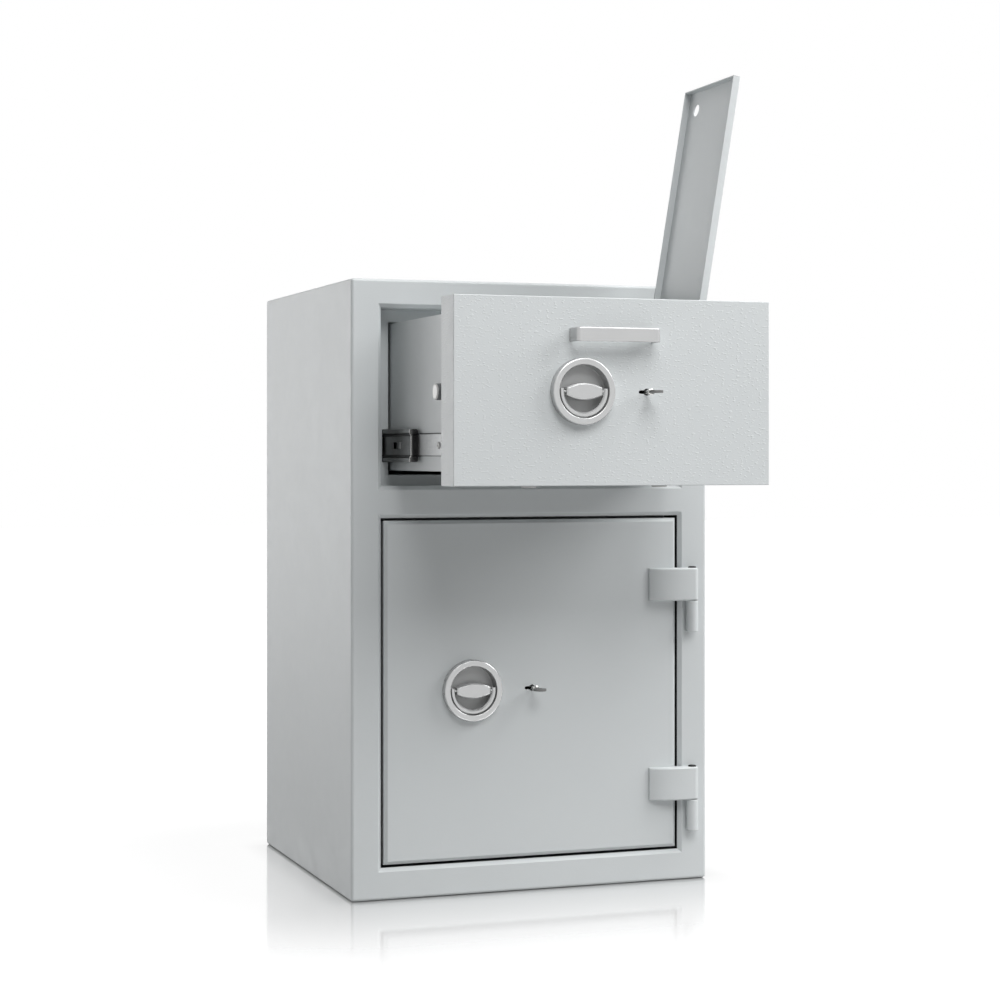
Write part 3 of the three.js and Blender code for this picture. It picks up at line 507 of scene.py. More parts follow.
@dataclass(frozen=True)
class Surface:
    """What every finish has: its name, its colour and the way its material is made."""

    name: str
    color: Color

    def shade(self, factor: float) -> Color:
        """The colour made lighter or darker."""
        return tuple(min(1.0, c * factor) for c in self.color)

    def clouded(self, g: Graph, source: Node, change: Span) -> Node:
        """The colour, changed by two factors as a noise falls and rises."""
        return g.ramp(source, [(at, self.shade(factor)) for at, factor in zip(CLOUD_STOPS, change)])

    def sockets(self, g: Graph) -> dict[str, Input]:
        """The inputs of the material's shader; each finish has its own."""
        raise NotImplementedError

    def material(self) -> Material:
        """Makes the material.

        Returns:
            The material, with one shader.
        """
        material = bpy.data.materials.new(self.name)
        g = Graph(material)
        g.finish(g.add("BsdfPrincipled", self.sockets(g)))
        return material


@dataclass(frozen=True)
class PowderCoat(Surface):
    """Powder coat: sparse raised dashes over a soft orange peel."""

    dash_strength: float
    dash_tone: float = 1.02
    peel_strength: float = 0.12
    roughness: Span = (0.4, 0.56)
    variation: float = 0.012
    broad_scale: float = 5.0
    dash_scale: float = 400.0
    dash_stretch: Color = (0.5, 0.5, 1.1)
    dash_onset: Span = (0.575, 0.7)
    dash_depth: float = 0.0006
    peel_scale: float = 70.0
    peel_depth: float = 0.0005

    def sockets(self, g: Graph) -> dict[str, Input]:
        """Broad tone, raised dashes, gloss and relief.

        Args:
            g: The material's nodes.

        Returns:
            The shader's inputs.
        """
        tone = self.clouded(
            g, g.noise(self.broad_scale, 3.0), (1 - self.variation, 1 + self.variation))
        dashes = g.noise(self.dash_scale, 2.0, 0.4, self.dash_stretch)
        peel = g.noise(self.peel_scale, 2.0)
        first, full = self.dash_onset
        lift = g.ramp(dashes, ((first, WHITE), (full, (self.dash_tone,) * 3)))
        raised = g.ramp(dashes, ((first, BLACK), (full, WHITE)))
        return {
            "Base Color": g.times(tone, lift),
            "Roughness": g.range_of(peel, self.roughness),
            "Normal": g.bumps((
                (peel, self.peel_strength, self.peel_depth),
                (raised, self.dash_strength, self.dash_depth))),
        }


@dataclass(frozen=True)
class SatinMetal(Surface):
    """Metal with fine directional grain and cloudy gloss."""

    metallic: float
    roughness: Span
    variation: float = 0.03
    cloud_scale: float = 25.0
    grain_stretch: Color = (1.0, 1.0, 1.0)
    grain_scale: float = 600.0
    grain_strength: float = 0.02
    grain_depth: float = 0.0001

    def sockets(self, g: Graph) -> dict[str, Input]:
        """Cloudy tone and gloss that follow one noise, and a fine grain.

        Args:
            g: The material's nodes.

        Returns:
            The shader's inputs.
        """
        cloud = g.noise(self.cloud_scale, 2.0)
        grain = g.noise(self.grain_scale, 3.0, stretch=self.grain_stretch)
        return {
            "Base Color": self.clouded(g, cloud, (1 - self.variation, 1 + self.variation)),
            "Metallic": self.metallic,
            "Roughness": g.range_of(cloud, self.roughness),
            "Normal": g.bumps(((grain, self.grain_strength, self.grain_depth),)),
        }


@dataclass(frozen=True)
class ZincPlate(Surface):
    """Zinc-plated sheet: faint spangle and rolled grain along the sheet."""

    roughness: Span = (0.28, 0.46)
    metallic: float = 0.9
    spangle_scale: float = 130.0
    spangle_tone: Span = (1.06, 0.9)
    spangle_reach: float = 0.9
    roll_scale: float = 220.0
    roll_stretch: Color = (4.0, 0.25, 4.0)
    roll_strength: float = 0.06
    roll_depth: float = 0.0002

    def sockets(self, g: Graph) -> dict[str, Input]:
        """Spangled tone, and rolled grain in gloss and relief.

        Args:
            g: The material's nodes.

        Returns:
            The shader's inputs.
        """
        spangle = g.add(
            "TexVoronoi", {"Scale": self.spangle_scale, "Vector": g.stretched(WHITE)}, feature="F1")
        rolled = g.noise(self.roll_scale, 3.0, stretch=self.roll_stretch)
        middle_tone, edge_tone = (self.shade(factor) for factor in self.spangle_tone)
        return {
            "Base Color": g.ramp(spangle, ((0.0, middle_tone), (self.spangle_reach, edge_tone))),
            "Metallic": self.metallic,
            "Roughness": g.range_of(rolled, self.roughness),
            "Normal": g.bumps(((rolled, self.roll_strength, self.roll_depth),)),
        }


@dataclass(frozen=True)
class Moulded(Surface):
    """Moulded plastic with a fine eroded grain."""

    roughness: Span = (0.38, 0.55)
    specular: float = 0.2
    grain_tone: Span = (0.8, 1.25)
    grain_scale: float = 900.0
    grain_strength: float = 0.15
    grain_depth: float = 0.0002

    def sockets(self, g: Graph) -> dict[str, Input]:
        """Grain in tone, gloss and bump.

        Args:
            g: The material's nodes.

        Returns:
            The shader's inputs.
        """
        grain = g.noise(self.grain_scale, 2.0)
        return {
            "Base Color": self.clouded(g, grain, self.grain_tone),
            "Specular IOR Level": self.specular,
            "Roughness": g.range_of(grain, self.roughness),
            "Normal": g.bumps(((grain, self.grain_strength, self.grain_depth),)),
        }


GREY_COAT = (0.61, 0.637, 0.644)


class Finish(Enum):
    """The finishes of the safe: each has its surface and the record's slot."""

    COAT = PowderCoat("light_grey_coat", GREY_COAT, 0.07, 1.004, 0.06), "paint"
    EMBOSSED = PowderCoat("embossed_coat", GREY_COAT, 0.42), "paint"
    HANDLE = (
        SatinMetal("satin_handle", (0.53, 0.535, 0.535), 0.65, (0.23, 0.27), 0.015), "satin_metal")
    # Painted shade: the dish's darker colour stands in for the shade in the cup's hollow; its rougher
    # gloss is a matt finish.
    DISH = SatinMetal("matt_dish", (0.42, 0.425, 0.425), 0.25, (0.45, 0.6)), "satin_metal"
    NICKEL = SatinMetal("nickel_key", (0.62, 0.615, 0.60), 1.0, (0.16, 0.3)), "key_steel"
    # Painted shade: a dark copy of the key's nickel for the bow, which is one metal with the stem.
    BOW = SatinMetal("dull_bow", (0.16, 0.16, 0.158), 0.5, (0.3, 0.45)), "key_steel"
    BOLT = (
        SatinMetal("turned_bolt", (0.43, 0.43, 0.425), 0.4, (0.42, 0.52), grain_stretch=(0.2, 1, 1)),
        "key_steel")
    ZINC = ZincPlate("zinc_sheet", (0.2, 0.205, 0.207)), "zinc_steel"
    RACE = ZincPlate("race_steel", (0.17, 0.174, 0.176)), "zinc_steel"
    DARK = SatinMetal("oiled_steel", (0.20, 0.205, 0.21), 0.85, (0.35, 0.55)), "dark_steel"
    PLASTIC = Moulded("black_moulding", (0.012, 0.012, 0.0125)), "black_plastic"

    @property
    def slot(self) -> str:
        """The record's material slot."""
        return self.value[1]

    @cache
    def material(self) -> Material:
        """The finish's material, made once."""
        return self.value[0].material()


def dress(
    name: str,
    shape: BMesh | Piece,
    finish: Finish,
    node: str,
    edge: float = 0.0004,
    replaced: Sequence[str] | None = None,
) -> Piece:
    """Finishes a new piece and hangs it on its body.

    Args:
        name: The piece's name.
        shape: Its mesh, or an object already made from it.
        finish: Its finish.
        node: A node of the body that it rides on.
        edge: Width of the rounding on its sharp edges.
        replaced: The nodes that it stands for; by default the node alone, or none if empty.

    Returns:
        The finished piece.
    """
    piece = shape if isinstance(shape, Piece) else object_from(name, shape)
    piece.name = name
    piece.data.name = name
    piece.data.materials.clear()
    piece.data.materials.append(finish.material())
    soften(piece, edge)
    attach(piece, body_of(node))
    nodes = [node] if replaced is None else list(replaced)
    if nodes:
        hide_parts(*nodes)
    finish.slot
    log.info("%s rides on %s", name, body_of(node))
    return piece


def dress_nodes(nodes: Iterable[str], finish: Finish, edge: float = 0.0004) -> None:
    """Gives nodes that keep their own shape a finish and softened edges.

    Args:
        nodes: The nodes.
        finish: Their finish.
        edge: Width of the rounding on their sharp edges.
    """
    for node in nodes:
        piece = frame["nodes"][node]
        piece.data.materials.clear()
        piece.data.materials.append(finish.material())
        for polygon in piece.data.polygons:
            polygon.material_index = 0
        flat = piece.modifiers.new("flat_faces", "DECIMATE")
        flat.decimate_type = "DISSOLVE"
        flat.angle_limit = FLAT_ANGLE
        soften(piece, edge)
        log.info("%s keeps its shape", node)


def pick_out(piece: Piece, finish: Finish, test: Callable[[bpy.types.MeshPolygon], bool]) -> None:
    """Gives some faces of a piece a second finish.

    Args:
        piece: The piece.
        finish: The second finish.
        test: Whether a face gets it.
    """
    piece.data.materials.append(finish.material())
    for face in piece.data.polygons:
        face.material_index = int(test(face))


@dataclass(frozen=True)
class Screw:
    """A pan-headed screw with a cross recess.

    Shoulder, crown, arm and slot are shares of its radius; the values named shares are of its head.
    """

    radius: float
    head: float
    shoulder: float
    crown: float
    arm: float
    slot: float
    wall_share: float = 0.3
    shoulder_share: float = 0.8
    recess_share: float = 0.4
    edge: float = 0.0001

    def build(self, name: str, node: str, axis: Axis, centre: Span, face: float, out: int) -> None:
        """Builds the screw and hangs it on its body.

        Args:
            name: Its name.
            node: A node of the body that it rides on.
            axis: The axis that it runs along.
            centre: Its place across the axis.
            face: Where its head starts, along the axis.
            out: Which way its head stands, 1 or -1.
        """
        top = out * self.head
        profile = [
            (0, face), (self.radius, face), (self.radius, face + top * self.wall_share),
            (self.radius * self.shoulder, face + top * self.shoulder_share),
            (self.radius * self.crown, face + top), (0, face + top)]
        screw = object_from(name, turned(profile, axis, centre, HEAD_SIDES))
        for along, across in ((self.arm, self.slot), (self.slot, self.arm)):
            corners = [
                axis.place(
                    centre[0] + sense * self.radius * along, centre[1] + sense * self.radius * across,
                    level)
                for sense, level in (
                    (-1, face + top * self.recess_share), (1, face + top + out * OVERRUN))]
            carve(screw, (block(*corners),))
        dress(name, screw, Finish.BOLT, node, edge=self.edge, replaced=())


# Cabinet


@dataclass
class Cabinet:
    """The welded cabinet: shell, front frame with two bays, bay floor and baffle."""

    wall: float = 0.005
    corner_radius: float = 0.004
    corner_steps: int = 5
    frame_face: float = 0.006
    sleeve_wall: float = 0.003
    flange_sheet: float = 0.003
    reveal_bevel: float = 0.005
    stile: float = 0.036
    bay_rise: tuple[Span, Span] = ((0.036, 0.4965), (0.528, 0.768))
    side_flange: float = 0.0226
    low_flange: float = 0.014
    top_flange: float = 0.016
    notch_play: float = 0.0006
    seam_inset: float = 0.011
    seam_width: float = 0.0012
    seam_depth: float = 0.0012
    edge: float = 0.0006

    @property
    def clear(self) -> float:
        """Half the clear width of the bays."""
        return high("outer_casing").x - self.stile - self.reveal_bevel

    @property
    def bays(self) -> list[Span]:
        """The clear heights of the bays, the door's first."""
        return [(a + self.reveal_bevel, b - self.reveal_bevel) for a, b in self.bay_rise]

    @property
    def flange_front(self) -> float:
        """The front of the flanges at the back of the bays."""
        return high("front_frame").y - self.flange_sheet

    def steps(self) -> list[Step]:
        """The boxes of the shell, its bays, sleeves and flanges.

        Returns:
            The steps in order.
        """
        lo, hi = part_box("outer_casing")
        back = high("front_frame").y
        front, clear, wall, sleeve = self.flange_front, self.clear, self.wall, self.sleeve_wall
        flange = clear - self.side_flange
        result = [
            add_box(lo, hi),
            cut_box((lo.x + wall, lo.y + self.frame_face, lo.z + wall),
                    (hi.x - wall, hi.y - wall, hi.z - wall))]
        result += [
            add_box((-clear - sleeve, lo.y, a - sleeve), (clear + sleeve, back, b + sleeve))
            for a, b in self.bays]
        for a, b in self.bays:
            result += [
                cut_box((-clear, lo.y, a), (clear, front, b)),
                cut_box((-flange, front, a + self.low_flange), (flange, back, b - self.top_flange))]
        play = self.notch_play
        for side in Side:
            member_low, member_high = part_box(f"slide_middle_{side.word}")
            reach = max(abs(member_low.x), abs(member_high.x)) + play
            result.append(cut_box(
                (side.value * flange, front, member_low.z - play),
                (side.value * reach, back, member_high.z + play)))
        return result + self.back_seam(lo, hi)

    def back_seam(self, lo: Vector, hi: Vector) -> list[Step]:
        """The groove round the rear wall, where it is welded into the shell.

        Args:
            lo: The shell's lowest corner.
            hi: Its highest corner.

        Returns:
            The steps that cut it.
        """
        inset, width, front = self.seam_inset, self.seam_width, hi.y - self.seam_depth
        left, right, base, top = lo.x + inset, hi.x - inset, lo.z + inset, hi.z - inset
        runs = (
            (left, base, left + width, top), (right - width, base, right, top),
            (left, base, right, base + width), (left, top - width, right, top))
        return [cut_box((x0, front, z0), (x1, hi.y, z1)) for x0, z0, x1, z1 in runs]

    def at_mouth(self, a: Vector, b: Vector) -> bool:
        """Whether an edge borders the mouth of a bay.

        Args:
            a: One end of the edge.
            b: Its other end.

        Returns:
            True if it lies on the front face, between the walls.
        """
        lo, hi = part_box("outer_casing")
        return all(
            abs(p.y - lo.y) < TOUCH and abs(p.x) < self.clear + TOUCH
            and lo.z + self.wall < p.z < hi.z - self.wall for p in (a, b))

    def on_outside(self, a: Vector, b: Vector) -> bool:
        """Whether an edge lies on two outer planes of the shell."""
        planes = product(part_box("outer_casing"), range(3))
        return sum(abs(a[k] - c[k]) < TOUCH and abs(b[k] - c[k]) < TOUCH for c, k in planes) == 2

    def build(self) -> None:
        """Builds the welded body and dresses the plates inside it."""
        bm = cells(self.steps())
        rounded(bm, edges_where(bm, self.at_mouth), self.reveal_bevel)
        rounded(bm, edges_where(bm, self.on_outside), self.corner_radius, self.corner_steps)
        body = dress("cabinet_body", bm, Finish.COAT, "outer_casing", self.edge,
                     ("outer_casing", "front_frame"))
        # Painted shade: the door bay's walls take the black moulding finish so that the door's gap reads
        # black.
        pick_out(body, Finish.PLASTIC, self.is_lining)
        dress_nodes(("bay_floor", "drop_baffle"), Finish.COAT)

    def is_lining(self, face: bpy.types.MeshPolygon) -> bool:
        """Whether a face is on the door bay's walls behind its bevelled mouth, which are painted black
        as shade in the door's gap.

        Args:
            face: A face of the welded body.

        Returns:
            True on the bay's walls.
        """
        at, (base, top) = face.center, self.bays[0]
        deep = low("outer_casing").y + self.reveal_bevel < at.y < self.flange_front
        on_side = abs(abs(at.x) - self.clear) < TOUCH and base - TOUCH < at.z < top + TOUCH
        on_level = min(abs(at.z - base), abs(at.z - top)) < TOUCH and abs(at.x) < self.clear + TOUCH
        return deep and (on_side or on_level)


# Panels of the door and the drawer


@dataclass
class LockPlace:
    """Where a ring handle and its keyhole stand on a panel; the places are of x and z."""

    face: float
    knob: Vector
    key: Vector

    @classmethod
    def of(cls, place: str) -> "LockPlace":
        """Reads a panel's places from the frame.

        Args:
            place: The panel, door or drawer.

        Returns:
            Its face and the places of its knob and key.
        """
        lo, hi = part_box(f"{place}_key")
        key = Vector((hi.x - Key.bow_width / 2, (lo.z + hi.z) / 2))
        return cls(low(f"{place}_front").y, middle(f"{place}_rose").xz, key)


@dataclass
class Panel:
    """A folded pan with a chamfered or rounded face, bored for the handle's cup and the key."""

    place: str
    bevel: float
    bevel_steps: int
    finish: Finish
    face_sheet: float = 0.005
    wall: float = 0.003
    cup_radius: float = 0.0338
    hole_radius: float = 0.0042
    slot_reach: float = 0.0105
    slot_height: float = 0.0042

    def build(self) -> None:
        """Builds the pan and dresses the liner that closes it."""
        node, wall = f"{self.place}_front", self.wall
        lo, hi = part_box(node)
        bm = cells((add_box(lo, hi), cut_box(
            (lo.x + wall, lo.y + self.face_sheet, lo.z + wall), (hi.x - wall, hi.y, hi.z - wall))))
        front = edges_where(bm, lambda a, b: max(abs(a.y - lo.y), abs(b.y - lo.y)) < TOUCH)
        rounded(bm, front, self.bevel, self.bevel_steps)
        piece = object_from(f"{self.place}_panel", bm)
        lock = LockPlace.of(self.place)
        through = (lo.y - OVERRUN, lo.y + self.face_sheet + OVERRUN)
        cup = turned(rod_profile(self.cup_radius, through), Axis.Y, lock.knob, CUP_SIDES)
        carve(piece, (cup, self.keyhole(lock, through)))
        dress(f"{self.place}_panel", piece, self.finish, node)
        dress_nodes((f"{self.place}_liner",), Finish.COAT)

    def keyhole(self, lock: LockPlace, span: Span) -> BMesh:
        """The keyhole: a round hole with a slot to its left, its end round.

        Args:
            lock: The panel's places.
            span: Where the hole starts and ends.

        Returns:
            The tool that cuts it.
        """
        half = self.slot_height / 2
        meet = math.degrees(math.asin(half / self.hole_radius))
        outline = arc(lock.key, self.hole_radius, meet - 180, 180 - meet, HOLE_STEPS)
        tip = (lock.key[0] - self.slot_reach + half, lock.key[1])
        return prism(outline + arc(tip, half, 90, 270, END_STEPS), Axis.Y, span)


# Ring handle


@dataclass
class RingHandle:
    """A cup with a broad rim, a lens-shaped grip across it and a half-ring bail on the grip."""

    place: str
    seat_gap: float = 0.0003
    rim_radius: float = 0.040
    rim_height: float = 0.011
    rim_round: float = 0.0022
    dish_radius: float = 0.032
    dish_lip: float = 0.0012
    dish_depth: float = 0.005
    lip_share: float = 0.1
    cup_wall: float = 0.0012
    cup_floor: float = 0.002
    spindle_hole: float = 0.0056
    grip_half: float = 0.023
    grip_end: float = 0.0046
    grip_mid: float = 0.010
    grip_proud: float = 0.012
    grip_depth: float = 0.0128
    grip_edge: float = 0.0017
    grip_steps: int = 24
    hub_radius: float = 0.008
    hub_edge: float = 0.0004
    bail_inner: float = 0.025
    bail_outer: float = 0.0303
    bail_thick: float = 0.006
    bail_proud: float = 0.007
    bail_end: float = 0.0036
    bail_edge: float = 0.0006
    bail_chamfer: float = 0.0019
    bail_end_chamfer: float = 0.0022
    bail_steps: int = 48
    pin_radius: float = 0.0015
    pin_edge: float = 0.0002
    pin_inward: float = 0.0047
    pin_outward: float = 0.002

    def build(self) -> None:
        """Builds the rose, the grip and the bail."""
        lock = LockPlace.of(self.place)
        self.rose(lock)
        self.grip(lock)
        self.bail(lock)

    def rose(self, lock: LockPlace) -> None:
        """Builds the cup: flat rim with a rounded outer edge, a lip inside and a floor.

        Args:
            lock: The panel's places.
        """
        seat, nose = lock.face - self.seat_gap, lock.face - self.rim_height
        floor = lock.face + self.dish_depth
        back, outside = floor + self.cup_floor, self.dish_radius + self.cup_wall
        lip, bend = self.dish_lip, self.rim_round
        profile = [(self.rim_radius, seat)]
        profile += arc((self.rim_radius - bend, nose + bend), bend, 0, -90, RIM_STEPS)
        profile += arc((self.dish_radius + lip, nose + lip), lip, -90, -180, LIP_STEPS)
        profile += arc((self.dish_radius - lip, floor - lip), lip, 0, 90, LIP_STEPS)
        profile += [
            (self.spindle_hole, floor), (self.spindle_hole, back), (outside, back), (outside, seat)]
        piece = dress(f"{self.place}_handle_rose", turned(profile, Axis.Y, lock.knob, ROSE_SIDES),
                      Finish.HANDLE, f"{self.place}_rose", edge=0)
        reach, deep = self.dish_radius + lip * self.lip_share, nose + lip
        # Painted shade: faces inside the dish take the darker dish finish.
        pick_out(piece, Finish.DISH, lambda face: (
            (face.center.xz - lock.knob).length < reach and face.center.y > deep))

    def grip(self, lock: LockPlace) -> None:
        """Builds the grip, crisp edged, with its hub.

        Args:
            lock: The panel's places.
        """
        nose = lock.face - self.grip_proud
        shares = [2 * i / self.grip_steps - 1 for i in range(self.grip_steps + 1)]
        low_edge = [(self.grip_half * t, -self.arch(t)) for t in shares]
        x, z = lock.knob
        outline = [(x + u, z + v) for u, v in low_edge + [(u, -v) for u, v in reversed(low_edge)]]
        bm = prism(outline, Axis.Y, (nose, nose + self.grip_depth))
        front = edges_where(bm, lambda a, b: max(abs(a.y - nose), abs(b.y - nose)) < TOUCH)
        rounded(bm, front, self.grip_edge)
        hub_span = (nose + self.grip_depth / 2, lock.face + self.dish_depth - self.seat_gap)
        hub = turned(rod_profile(self.hub_radius, hub_span, self.hub_edge), Axis.Y, lock.knob)
        name = f"{self.place}_handle_grip"
        piece = object_from(name, bm)
        carve(piece, (hub,), "UNION")
        dress(name, piece, Finish.HANDLE, f"{self.place}_grip", edge=0.0003)

    def arch(self, t: float) -> float:
        """Half height of the grip at a share of its half length."""
        return self.grip_end + (self.grip_mid - self.grip_end) * (1 - t * t)

    def bail(self, lock: LockPlace) -> None:
        """Builds the bail: a half ring, its inner edge and ends chamfered, pinned at each end.

        Args:
            lock: The panel's places.
        """
        half_wide, half_deep = (self.bail_outer - self.bail_inner) / 2, self.bail_thick / 2
        section = [
            (self.bail_chamfer - half_wide, -half_deep), (half_wide - self.bail_edge, -half_deep),
            (half_wide, self.bail_edge - half_deep), (half_wide, half_deep),
            (-half_wide, half_deep), (-half_wide, self.bail_chamfer - half_deep)]
        pivot_y = lock.face - self.bail_proud
        x, z = lock.knob
        turns = [180 + 180 * i / self.bail_steps for i in range(self.bail_steps + 1)]
        places = [(180, self.bail_end), *((turn, 0) for turn in turns), (360, self.bail_end)]
        bm = swept(section, [self.bail_station(Vector((x, pivot_y, z)), *place) for place in places])
        top, nose = z + self.bail_end - TOUCH, pivot_y - half_deep + TOUCH
        ends = edges_where(bm, lambda a, b: min(a.z, b.z) > top and max(a.y, b.y) < nose)
        rounded(bm, ends, self.bail_end_chamfer)
        name = f"{self.place}_handle_bail"
        piece = object_from(name, bm)
        for side in Side:
            span = sorted((x + side.value * (self.grip_half - self.pin_inward),
                           x + side.value * (self.bail_inner + self.pin_outward)))
            rod = rod_profile(self.pin_radius, span, self.pin_edge)
            carve(piece, (turned(rod, Axis.X, (pivot_y, z), SMALL_SIDES),), "UNION")
        dress(name, piece, Finish.HANDLE, f"{self.place}_bail", edge=0.00025)

    def bail_station(self, pivot: Vector, degrees: float, rise: float) -> Matrix:
        """Places the section on the half ring.

        Args:
            pivot: The half ring's centre.
            degrees: How far round it, from the right.
            rise: How far it is lifted, at the straight ends.

        Returns:
            The place.
        """
        angle = math.radians(degrees)
        out = Vector((math.cos(angle), 0, math.sin(angle)))
        radius = (self.bail_inner + self.bail_outer) / 2
        return station(pivot + out * radius + Vector((0, 0, rise)), out, Vector((0, 1, 0)))


# Key


@dataclass
class Key:
    """A key in its hole: flat bow seen edge-on, collar, stem and a cut bit."""

    place: str
    stem_radius: float = 0.0027
    stem_root: float = 0.002
    root_share: float = 0.8
    collar_radius: float = 0.0038
    collar_proud: float = 0.011
    collar_length: float = 0.0022
    collar_slope: float = 0.0008
    tip_edge: float = 0.0006
    bow_start: float = 0.019
    bow_width: float = 0.017
    bow_overlap: float = 0.001
    bow_thickness: float = 0.003
    bow_hole: float = 0.0032
    hole_shift: float = 0.001
    bit_reach: float = 0.0096
    bit_thickness: float = 0.003
    bit_length: float = 0.013
    bit_cut: float = 0.3
    bit_notch: Span = (0.4, 0.6)
    tip_length: float = 0.003

    def build(self) -> None:
        """Builds the key as one piece."""
        lock = LockPlace.of(self.place)
        node = f"{self.place}_key"
        lo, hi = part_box(node)
        x, z = lock.key
        stem = self.stem_radius
        collar, bow_end = lock.face - self.collar_proud, lock.face - self.bow_start
        profile = [
            (0, bow_end - self.stem_root), (stem * self.root_share, bow_end - self.stem_root),
            (stem, bow_end),
            (stem, collar - self.collar_length - self.collar_slope),
            (self.collar_radius, collar - self.collar_length), (self.collar_radius, collar),
            (stem, collar + self.collar_slope), (stem, hi.y - self.tip_edge),
            (stem - self.tip_edge, hi.y), (0, hi.y)]
        piece = object_from(node, turned(profile, Axis.Y, lock.key))
        bow_middle = (lo.y + bow_end + self.bow_overlap) / 2
        bow_half = (bow_end + self.bow_overlap - lo.y) / 2
        ring = [
            (x + self.bow_width / 2 * math.cos(a), bow_middle + bow_half * math.sin(a))
            for a in (2 * math.pi * i / ROUND_SIDES for i in range(ROUND_SIDES))]
        half = self.bow_thickness / 2
        hole = turned(
            rod_profile(self.bow_hole, (z - half - OVERRUN, z + half + OVERRUN)),
            Axis.Z, (x, bow_middle - self.hole_shift), HEAD_SIDES)
        carve(piece, (prism(ring, Axis.Z, (z - half, z + half)),), "UNION")
        carve(piece, (hole,))
        carve(piece, (self.bit(lock, hi.y),), "UNION")
        piece = dress(f"{self.place}_turning_key", piece, Finish.NICKEL, node, edge=0.00035)
        # Painted shade: the bow's faces take the dark copy of the key's metal.
        pick_out(piece, Finish.BOW, lambda face: face.center.y < bow_end)

    def bit(self, lock: LockPlace, end: float) -> BMesh:
        """The bit with a step cut into its edge.

        Args:
            lock: The panel's places.
            end: The stem's end.

        Returns:
            A closed mesh.
        """
        x, z = lock.key
        left, tip = x - self.bit_reach, end - self.tip_length / 2
        start, cut = end - self.bit_length, left + self.bit_reach * self.bit_cut
        near, far = (end - self.bit_length * share for share in self.bit_notch)
        outline = [
            (x, start), (x, tip), (left, tip), (left, near), (cut, near), (cut, far), (left, far),
            (left, start)]
        half = self.bit_thickness / 2
        return prism(outline, Axis.Z, (z - half, z + half))


# Pull handle


@dataclass
class PullHandle:
    """A flat strap with rounded corners, its ends bent back to the drawer's face."""

    sheet: float = 0.0036
    corner: float = 0.006
    edge: float = 0.0011

    def build(self) -> None:
        """Sweeps the strap's section along its bent path."""
        lo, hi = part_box("pull_handle")
        half, z = self.sheet / 2, (lo.z + hi.z) / 2
        radius = self.corner - half
        left, right, middle_y = lo.x + half, hi.x - half, lo.y + half + radius
        places = [(Vector((left, hi.y, z)), Vector((1, 0, 0)))]
        for x, start in ((left + radius, 180), (right - radius, 270)):
            for u, v in arc((x, middle_y), radius, start, start + 90, BEND_STEPS):
                places.append((Vector((u, v, z)), Vector((x - u, middle_y - v, 0)).normalized()))
        places.append((Vector((right, hi.y, z)), Vector((-1, 0, 0))))
        bm = swept(chamfered(half, (hi.z - lo.z) / 2, self.edge),
                   [station(at, inward, Vector((0, 0, 1))) for at, inward in places])
        dress("drawer_pull_handle", bm, Finish.HANDLE, "pull_handle")


# Hinges


